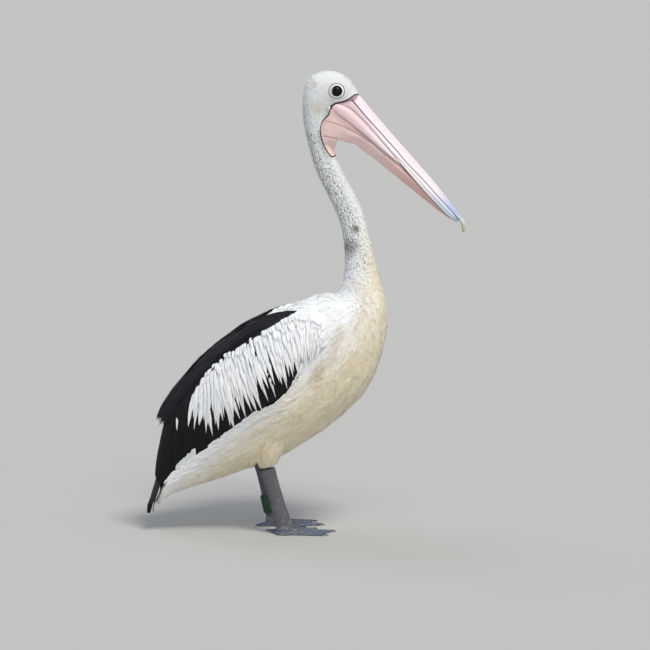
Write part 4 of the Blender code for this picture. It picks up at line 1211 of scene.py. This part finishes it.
# ---- wings and tail ------------------------------------------------------------------------------
# In side view, all from front to rear: the lower and the upper edge of the black shoulder strip, the
# line of the white plumes' tips and the wing's lower edge.
STRIP_EDGE = np.array((
    (-0.0244, 0.5048), (-0.0586, 0.4843), (-0.0846, 0.4667), (-0.1108, 0.4501), (-0.1337, 0.4334),
    (-0.1568, 0.4194), (-0.1733, 0.4089), (-0.1931, 0.3921), (-0.2130, 0.3750), (-0.2261, 0.3587),
    (-0.2400, 0.3400), (-0.2520, 0.3220), (-0.2700, 0.2980), (-0.2950, 0.2690), (-0.3240, 0.2450),
))
STRIP_TOP = np.array((
    (-0.0244, 0.5060), (-0.0500, 0.5030), (-0.0763, 0.4970), (-0.1093, 0.4830), (-0.1423, 0.4632),
    (-0.1754, 0.4366), (-0.2086, 0.4133), (-0.2418, 0.3832), (-0.2751, 0.3498), (-0.2984, 0.3197),
    (-0.3218, 0.2895), (-0.3390, 0.2620), (-0.3430, 0.2500),
))
PLUME_TIPS = np.array((
    (0.0460, 0.4750), (0.0431, 0.4459), (0.0295, 0.4204), (0.0069, 0.3983), (-0.0141, 0.3830),
    (-0.0346, 0.3580), (-0.0475, 0.3500), (-0.0677, 0.3310), (-0.0846, 0.3150), (-0.0934, 0.3010),
    (-0.1168, 0.2890), (-0.1431, 0.2740), (-0.1597, 0.2600), (-0.1850, 0.2470), (-0.1977, 0.2390),
    (-0.2245, 0.2480), (-0.2398, 0.2600), (-0.2566, 0.2520), (-0.2640, 0.2760),
))
LOWER_EDGE = np.array((
    (-0.0125, 0.3880), (-0.0223, 0.3623), (-0.0354, 0.3419), (-0.0549, 0.3184), (-0.0745, 0.3014),
    (-0.0941, 0.2926), (-0.1203, 0.2803), (-0.1400, 0.2663), (-0.1599, 0.2469), (-0.1865, 0.2272),
    (-0.2064, 0.2128), (-0.2265, 0.1948), (-0.2499, 0.1768), (-0.2735, 0.1554), (-0.2937, 0.1408),
    (-0.3141, 0.1191), (-0.3306, 0.0963),
))
# How far up from the strip's lower edge each feather of the clump at its rear end lies.
CLUMP = (0.30, 0.48, 0.66, 0.84)
# The rounded top of the wing in front of the black strip, under small shoulder feathers.
SHOULDER_TOP = np.array((
    (-0.030, 0.497), (0.005, 0.496), (0.020, 0.492), (0.033, 0.482), (0.042, 0.470),
))
# How far the hanging plumes slant, by x, in degrees forwards of straight down.
PLUME_SLANT = np.array((
    (-0.27, -14), (-0.229, -6), (-0.20, 2), (-0.162, 12), (-0.128, 15), (-0.0875, 17),
    (-0.049, 12), (-0.02, 7), (0.000, -4), (0.020, -20), (0.045, -34),
))
# The white plumes' tiers: how far up towards the strip, step between them, length, half-width, lift.
PLUME_TIERS = (
    (0.00, 0.0128, 0.125, 0.0072, 0.0042), (0.16, 0.0112, 0.115, 0.0070, 0.0048),
    (0.30, 0.0100, 0.105, 0.0066, 0.0054), (0.44, 0.0090, 0.090, 0.0060, 0.0060),
    (0.58, 0.0080, 0.075, 0.0054, 0.0066), (0.73, 0.0070, 0.060, 0.0047, 0.0071),
    (0.88, 0.0062, 0.045, 0.0041, 0.0075),
)
# Long feathers: places along them and across them, and three outlines.
LONG_SHARES = np.linspace(0, 1, 11)
ACROSS = (-1, -0.6, -0.2, 0.2, 0.6, 1)
PLUME_OUTLINE = (0.40, 0.72, 0.90, 0.98, 1.0, 0.96, 0.86, 0.69, 0.48, 0.25, 0.02)
TUFT_OUTLINE = (0.40, 0.72, 0.90, 0.98, 1.0, 1.0, 0.97, 0.90, 0.78, 0.58, 0.22)
FLIGHT_OUTLINE = (0.40, 0.72, 0.90, 0.98, 1.0, 1.0, 0.98, 0.94, 0.84, 0.62, 0.12)


# How far from the midline the strip's upper edge runs, by x: the white mantle lies inside it.
STRIP_INNER = np.array((
    (-0.17, 0.0), (-0.14, 0.008), (-0.109, 0.022), (-0.076, 0.041), (-0.05, 0.056), (-0.024, 0.0655),
))


def strip_inner(x):
    """How far from the midline the black strip's upper edge runs at x."""
    return np.interp(x, *STRIP_INNER.T)


def height_on(line, x):
    """Height of a front-to-rear line at x."""
    return np.interp(x, line[::-1, 0], line[::-1, 1])


def leaning(degrees):
    """A flat direction, so many degrees forwards of straight down."""
    slant = math.radians(degrees)
    return np.array((math.sin(slant), -math.cos(slant)))


def on_flank(shape, x, z):
    """The right flank at a place in side view, and which way it faces."""
    hit, up = shape.ray_cast(Vector((x, -0.4, z)), Vector((0, 1, 0)))[:2]
    if hit is None:
        near, up = shape.find_nearest(Vector((x, -0.04, z)))[:2]
        hit = Vector((x, near.y, z))
    return hit, up


def side_lines(shape, tips, ways, lengths):
    """Straight lines in side view, dropped onto the right flank."""
    spines = np.empty((len(tips), len(LONG_SHARES), 3))
    ups = np.empty_like(spines)
    for i, (tip, way, length) in enumerate(zip(tips, ways, lengths)):
        for k, (x, z) in enumerate(tip - np.outer(1 - LONG_SHARES, way) * length):
            spines[i, k], ups[i, k] = on_flank(shape, x, z)
    # They face sideways at least a little, so that no feather stands on edge.
    ups[..., 1] = np.minimum(ups[..., 1], -0.35)
    return evened(spines), unit(evened(evened(ups)))


def lifted(spines, ups, root, tip, curve=1.0):
    """Raises lines off the surface, from root to tip; a curve under 1 rises faster near the root."""
    root, tip = np.reshape(root, (-1, 1)), np.reshape(tip, (-1, 1))
    rise = root + (tip - root) * LONG_SHARES ** curve
    return spines + ups * rise[..., None]


def wing_piece(name, spines, ups, widths, outline, camber, look, tilt, ragged):
    """The right side's feathers and their mirror image for the left, as one piece."""
    flip = np.array((1, -1, 1))
    spines, ups = np.concatenate((spines, spines * flip)), np.concatenate((ups, ups * flip))
    tilts = np.repeat((-tilt, tilt), len(widths))
    widths = np.tile(widths, 2)
    return feathers(name, spines, ups, widths, outline, ACROSS, camber, look, None, ragged, tilts)


def plume_top(x):
    """How high white plumes may be rooted: under the strip and the small shoulder feathers."""
    below_strip = height_on(STRIP_EDGE, x) - 0.005 * ramp(x, -0.09, -0.05)
    return np.minimum(below_strip, np.interp(x, *SHOULDER_TOP.T))


def make_plumes(shape, look):
    """The white panel: hanging plumes with pointed tips, in tiers like tiles."""
    plumes = []                        # tip, way, length, lift and half-width of each
    for up, step, length, half, lift in PLUME_TIERS:
        along = np.arange(-0.260 + 0.05 * up * up, 0.036, step)
        denser_front = np.arange(-0.052, 0.030, step)
        for x in np.concatenate((along, denser_front)):
            x += DICE.normal(0, 0.0016)
            low, top = height_on(PLUME_TIPS, x), plume_top(x)
            z = low + (top - low) * up + DICE.normal(0, 0.0075) * (1 - 0.5 * up) * (x < -0.01)
            way = leaning(np.interp(x, *PLUME_SLANT.T) + DICE.normal(0, 3.2))
            # No longer than there is room for its root.
            tries = np.linspace(0.018, length * DICE.uniform(0.9, 1.1), 24)
            root_x, root_z = x - tries * way[0], z - tries * way[1]
            free = (root_z < plume_top(root_x) + 0.006) & (root_x < 0.046)
            plumes.append(((x, z), way, max(tries[free], default=tries[0]),
                           lift + DICE.uniform(0, 0.0004), half * DICE.uniform(0.72, 1.18)))
    # One white feather that lies free on the black ones near the wing's rear edge.
    plumes.append(((-0.2846, 0.2380), (0.08, -0.997), 0.034, 0.0050, 0.0030))
    tips, ways, lengths, lifts, widths = map(np.array, zip(*plumes))
    spines, ups = side_lines(shape, tips, ways, lengths)
    # Roots at the panel's upper edge lie under the black strip, the others under the tier above.
    at_edge = ramp(spines[:, 0, 2] - plume_top(spines[:, 0, 0]), -0.014, -0.004)
    roots = (lifts - 0.0014) * (1 - at_edge) - 0.0012 * at_edge
    spines = lifted(spines, ups, roots, lifts + 0.0004, 0.6)
    return wing_piece("plumes_white", spines, ups, widths, PLUME_OUTLINE, 0.08, look,
                      0.10, 0.05)


def strip_place(shape, part, share):
    """A place on the black strip: part runs from front to rear, share from lower edge to top."""
    edge, back = (place_on(line, part * polyline_lengths(line)[-1]) for line in (STRIP_EDGE, STRIP_TOP))
    low = on_flank(shape, *edge)[0]
    top = Vector((back[0], -max(strip_inner(back[0]) + 0.003, 0.012), back[1]))
    guess = low.lerp(top, share) + Vector((0, -0.012, 0.012)) * math.sin(math.pi * share)
    return shape.find_nearest(guess)[:2]


def make_black_strip(shape, look):
    """Long pointed shoulder feathers along the back's edge, ending in the clump at the wing's tip."""
    spines, ups, plans = [], [], []    # plans: half-width, lift and how much more at the tip
    whole = polyline_lengths(STRIP_TOP)[-1]
    for row, share in enumerate((0.0, 0.16, 0.32, 0.48, 0.64, 0.80, 0.96)):
        for start in np.arange(0.90 - 0.008 * row, -0.02, -0.033):
            start += DICE.normal(0, 0.008)
            reach = 0.100 / whole * DICE.uniform(0.85, 1.15) * min(1.0, 0.55 + start * 3)
            end = min(start + reach, 1.0 - 0.03 * DICE.random())
            own = min(max(share + DICE.normal(0, 0.03), 0), 1)
            # Tips of the lowest row hang over the white plumes' roots.
            drop, over = (0.0, 0.0) if row else (DICE.uniform(0.04, 0.16), 0.0034)
            line = [strip_place(shape, max(start + (end - start) * part, 0), own - drop * part ** 2)
                    for part in LONG_SHARES]
            spines.append([spot for spot, _ in line])
            ups.append([up for _, up in line])
            half = 0.0075 * DICE.uniform(0.85, 1.15) * min(1, 0.6 + 2.5 * max(start, 0))
            lift = -0.0004 + 0.0002 * row + 0.0008 * DICE.random() + 0.0030 * ramp(start, 0.16, 0.02)
            plans.append((half, lift, over))
    # The clump at the rear: broad blunt ends, one over the other.
    for k, share in enumerate(CLUMP):
        line = [strip_place(shape, 0.80 + (1.0 - 0.01 * k - 0.80) * part, share) for part in LONG_SHARES]
        spots = np.array([spot for spot, _ in line])
        spots += np.outer(LONG_SHARES ** 3, (-0.0065, 0, -0.0095 - 0.0010 * k))
        spines.append(spots)
        ups.append([up for _, up in line])
        plans.append((0.0095, 0.0006 + 0.0003 * k, 0.0))
    spines, ups = evened(evened(np.array(spines))), unit(evened(evened(np.array(ups))))
    widths, lifts, over = np.array(plans).T
    spines = lifted(spines, ups, lifts - 0.0012, lifts + 0.0006 + over)
    return wing_piece("scapulars_black", spines, ups, widths, PLUME_OUTLINE, 0.10, look,
                      0.08, 0.05)


def make_flight(shape, look):
    """Black flight feathers: tiers whose tips make the wing's lower and rear edge."""
    whole = polyline_lengths(LOWER_EDGE)[-1]
    flights = []                       # tip, way, length, half-width and lift of each
    for tier, rise in enumerate((0.0, 0.026, 0.056, 0.090, 0.125)):
        for s in np.arange(0.0, whole, 0.0088 + 0.0008 * tier):
            s += DICE.normal(0, 0.0012)
            rear = min(max(s / whole, 0), 1)
            way = leaning(-46 + 36 * rear ** 0.7 + DICE.normal(0, 1.2))
            tip = place_on(LOWER_EDGE, s) - way * rise * (0.25 + 1.1 * rear) + DICE.normal(0, 0.0012, 2)
            if tip[1] > height_on(STRIP_EDGE, tip[0]) - 0.01 or tip[0] > -0.026:
                continue
            # The root stays under the black strip and behind the white shoulder.
            length = (0.060 + 0.090 * rear) * DICE.uniform(0.95, 1.05)
            x, z = (tip - np.outer(np.linspace(0, 1, 40), way) * length).T
            covered = (z < height_on(STRIP_EDGE, x) + 0.012) & (x < -0.019)
            half = (0.0052 + 0.0048 * min(2.5 * rear, 1)) * DICE.uniform(0.9, 1.1)
            lift = 0.0002 + 0.0003 * tier + 0.0003 * DICE.random()
            flights.append((tip, way, max(length * covered.mean(), 0.018), half, lift))
    # The longest ones make the wing's rear edge.
    for k in range(7):
        tip = (-0.3395 + 0.0022 * k, 0.1270 - 0.0050 * k)
        flights.append((tip, leaning(-12 + 0.4 * k), 0.160, 0.0085, 0.0004 + 0.0003 * k))
    tips, ways, lengths, widths, lifts = map(np.array, zip(*flights))
    spines, ups = side_lines(shape, tips, ways, lengths)
    spines = lifted(spines, ups, lifts, lifts + 0.0004)
    piece = wing_piece("flight_black", spines, ups, widths, FLIGHT_OUTLINE, 0.05, look,
                       0.05, 0.015)
    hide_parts("wing_right", "wing_left")


def make_flank_tufts(shape, look):
    """White flank feathers that lie raggedly over the wing's lower edge, and one raised tuft."""
    whole = polyline_lengths(LOWER_EDGE)[-1]
    tufts = []                         # tip, way, length, half-width, lift of tip and of root
    for row in range(3):
        for s in np.arange(0.010, whole - 0.015, 0.0066):
            s += DICE.normal(0, 0.0025)
            place = place_on(LOWER_EDGE, s)
            along = place_on(LOWER_EDGE, s + 0.01) - place
            along = along / math.hypot(*along)
            up = np.array((along[1], -along[0]))
            turn = math.radians(DICE.uniform(3, 17))
            way = along * math.cos(turn) + up * math.sin(turn)
            tip = place + up * (DICE.uniform(-0.002, 0.004) - 0.006 * row)
            tufts.append((tip, way, DICE.uniform(0.036, 0.054), 0.0042 * DICE.uniform(0.75, 1.2),
                          0.0036 - 0.0007 * row + DICE.uniform(0, 0.0005), -0.0045))
    # The raised tuft, a fan.
    for share in np.linspace(0, 1, 18):
        root = np.array((-0.2900 + 0.0380 * share, 0.1440 + 0.0230 * share))
        tip = np.array((-0.2850 + 0.0370 * share, 0.1640 + 0.0385 * share)) + DICE.normal(0, 0.0012, 2)
        length = np.linalg.norm(tip - root)
        tufts.append((tip, (tip - root) / length, length, 0.0040, 0.0046, 0.0020))
    tips, ways, lengths, widths, lifts, roots = map(np.array, zip(*tufts))
    spines, ups = side_lines(shape, tips, ways, lengths)
    spines = lifted(spines, ups, roots, lifts, 0.7)
    piece = wing_piece("flank_tufts", spines, ups, widths, TUFT_OUTLINE, 0.10, look,
                       0.0, 0.04)
    store_markings(piece.data)
    give(piece.data, "depth", np.zeros(len(piece.data.vertices)))


def make_tail(look):
    """A fan of long black feathers laid on the tail's own shape, the middle ones on top."""
    shape = surface_of(NODES["tail"].data)
    fan = np.linspace(-1, 1, 15)
    spines, ups = [], []
    for wide in fan:
        # From a root 0.195 m up to a tip 0.04 m above the ground, the outer ones shorter.
        low = 0.0390 + 0.010 * wide * wide + DICE.normal(0, 0.0010)
        line, up = [], []
        for share in LONG_SHARES:
            y, z = wide * (0.020 + 0.024 * share), 0.195 + (low - 0.195) * share
            hit, way = shape.ray_cast(Vector((-0.6, y, z)), Vector((1, 0, 0)))[:2]
            if hit is None:
                hit, way = shape.find_nearest(Vector((-0.37, y, z)))[:2]
            line.append(hit)
            up.append(way)
        spines.append(line)
        ups.append(up)
    spines, ups = evened(np.array(spines)), unit(evened(evened(np.array(ups))))
    lifts = 0.0006 + 0.0020 * (1 - np.abs(fan))
    spines = lifted(spines, ups, lifts, lifts)
    feathers("tail_black", spines, ups, np.full(len(fan), 0.0085), FLIGHT_OUTLINE, ACROSS, 0.05, look,
             "tail", ragged=0.015)
    # Cream feathers under the tail's root, hanging in front of it.
    spines = []
    for row in range(4):
        for wide in np.linspace(-1, 1, 12) + DICE.normal(0, 0.03, 12):
            root = np.array((-0.3110 + 0.004 * row, wide * (0.024 + 0.002 * row), 0.125 + 0.016 * row))
            tip = np.array((-0.3470 + 0.006 * row + 0.006 * wide * wide, wide * 0.038, 0.053 + 0.013 * row))
            tip[2] += DICE.normal(0, 0.0015)
            spines.append(root + np.outer(LONG_SHARES, tip - root))
    spines = np.array(spines)
    ups = np.broadcast_to(unit(np.array((0.86, 0.0, -0.51))), spines.shape)
    widths = np.full(len(spines), 0.0060)
    piece = feathers("feathers_undertail", spines, ups, widths, PLUME_OUTLINE, ACROSS, 0.1,
                     bpy.data.materials["feather_barbs_contour"], ragged=0.03)
    store_markings(piece.data)
    give(piece.data, "depth", np.zeros(len(piece.data.vertices)))


# ---- studio --------------------------------------------------------------------------------------
FLOOR_REACH = 300                      # metres each way, past the horizon of any view
FLOOR_DROP = 0.0005                    # so that floor and soles don't share a plane
CAMERA_PLACE = (0.043, -6.0, 1.26)
CAMERA_AIM = (0.043, 0, 0.467)
CAMERA_LENS = 149                      # millimetres


def make_studio():
    """A wide pale floor under soft even light from above, and the camera."""
    bm = bmesh.new()
    bmesh.ops.create_grid(bm, x_segments=2, y_segments=2, size=FLOOR_REACH)
    bmesh.ops.translate(bm, verts=bm.verts, vec=(0, 0, -FLOOR_DROP))
    floor = object_of(mesh_of(bm, "floor"), "floor", studio_paper())
    world = bpy.data.worlds.new("studio_air")
    world.use_nodes = True
    air = world.node_tree.nodes["Background"]
    air.inputs["Color"].default_value = colour("#e6ecf5")
    air.inputs["Strength"].default_value = 0.54
    bpy.context.scene.world = world
    lamps = (  # name, where it shines from, strength, how wide its disc is in degrees, colour
        ("key", (0.50, -0.74, 1.55), 2.30, 20, "#fff9f0"),
        ("fill", (-1.0, 0.9, 1.2), 0.5, 40, "#eef3ff"),
        ("low", (0.30, -1.0, 0.05), 0.92, 60, "#fff0dc"),
    )
    for name, source, strength, wide, tint in lamps:
        data = bpy.data.lights.new(name, "SUN")
        data.energy, data.angle, data.color = strength, math.radians(wide), colour(tint)[:3]
        lamp = bpy.data.objects.new(name, data)
        lamp.rotation_euler = (-Vector(source)).to_track_quat("-Z", "Y").to_euler()
        bpy.context.scene.collection.objects.link(lamp)
    data = bpy.data.cameras.new("camera")
    data.lens = CAMERA_LENS
    camera = bpy.data.objects.new("camera", data)
    camera.location = CAMERA_PLACE
    way = Vector(CAMERA_AIM) - camera.location
    camera.rotation_euler = way.to_track_quat("-Z", "Y").to_euler()
    bpy.context.scene.collection.objects.link(camera)
    bpy.context.scene.camera = camera
    bpy.context.scene.view_settings.view_transform = "Standard"


# ---- the bird ------------------------------------------------------------------------------------
def settled(mesh, below):
    """Sinks the front ends of the shoulder plates, in front of x = -0.13, to the surface below."""
    points = verts_of(mesh)
    share = ramp(points[:, 0], -0.130, -0.075)
    for i in np.flatnonzero((share > 0) & (points[:, 2] > 0.44)):
        hit = below.ray_cast(Vector((points[i, 0], points[i, 1], 0.7)), Vector((0, 0, -1)))[0]
        if hit and points[i, 2] > hit.z:
            points[i, 2] -= (points[i, 2] - hit.z) * share[i]
    put_verts(mesh, points)


def build():
    """The studio, then the bird from its skin outwards."""
    make_studio()
    skin = make_skin()
    make_bill()
    make_nail()
    make_eyes(surface_of(NODES["head"].data))
    make_legs()
    # Smooth grounds for the wings' feathers: back and strip, and flank under plumes and flights.
    folded = ("wing_right", "wing_left", "trunk")
    back = melted(("scapulars_right", "scapulars_left", *folded), 0.0040, 12, -0.0005)
    flank_mesh = melted(folded, 0.0040, 16)
    flank = surface_of(flank_mesh)
    settled(back, flank)
    make_coat(skin, back, flank_mesh)
    # The fourth colour is the edges': painted blue-grey shade on the white plumes, wear on the black.
    white = flight_feather("feather_barbs_white_plume", "#fafbfc", "#e6eaef", "#bcc7d4", "#cfc6b0", 0.62)
    black = flight_feather("feather_barbs_black_flight", "#060608", "#0e0e12", "#181a20", "#1f2127", 0.52)
    plumes = make_plumes(flank, white)
    strip = make_black_strip(surface_of(back), black)
    make_flight(flank, black)
    make_flank_tufts(flank, bpy.data.materials["feather_barbs_contour"])
    make_tail(black)
    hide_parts("coverts_right", "coverts_left")
    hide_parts("scapulars_right", "scapulars_left")


build()
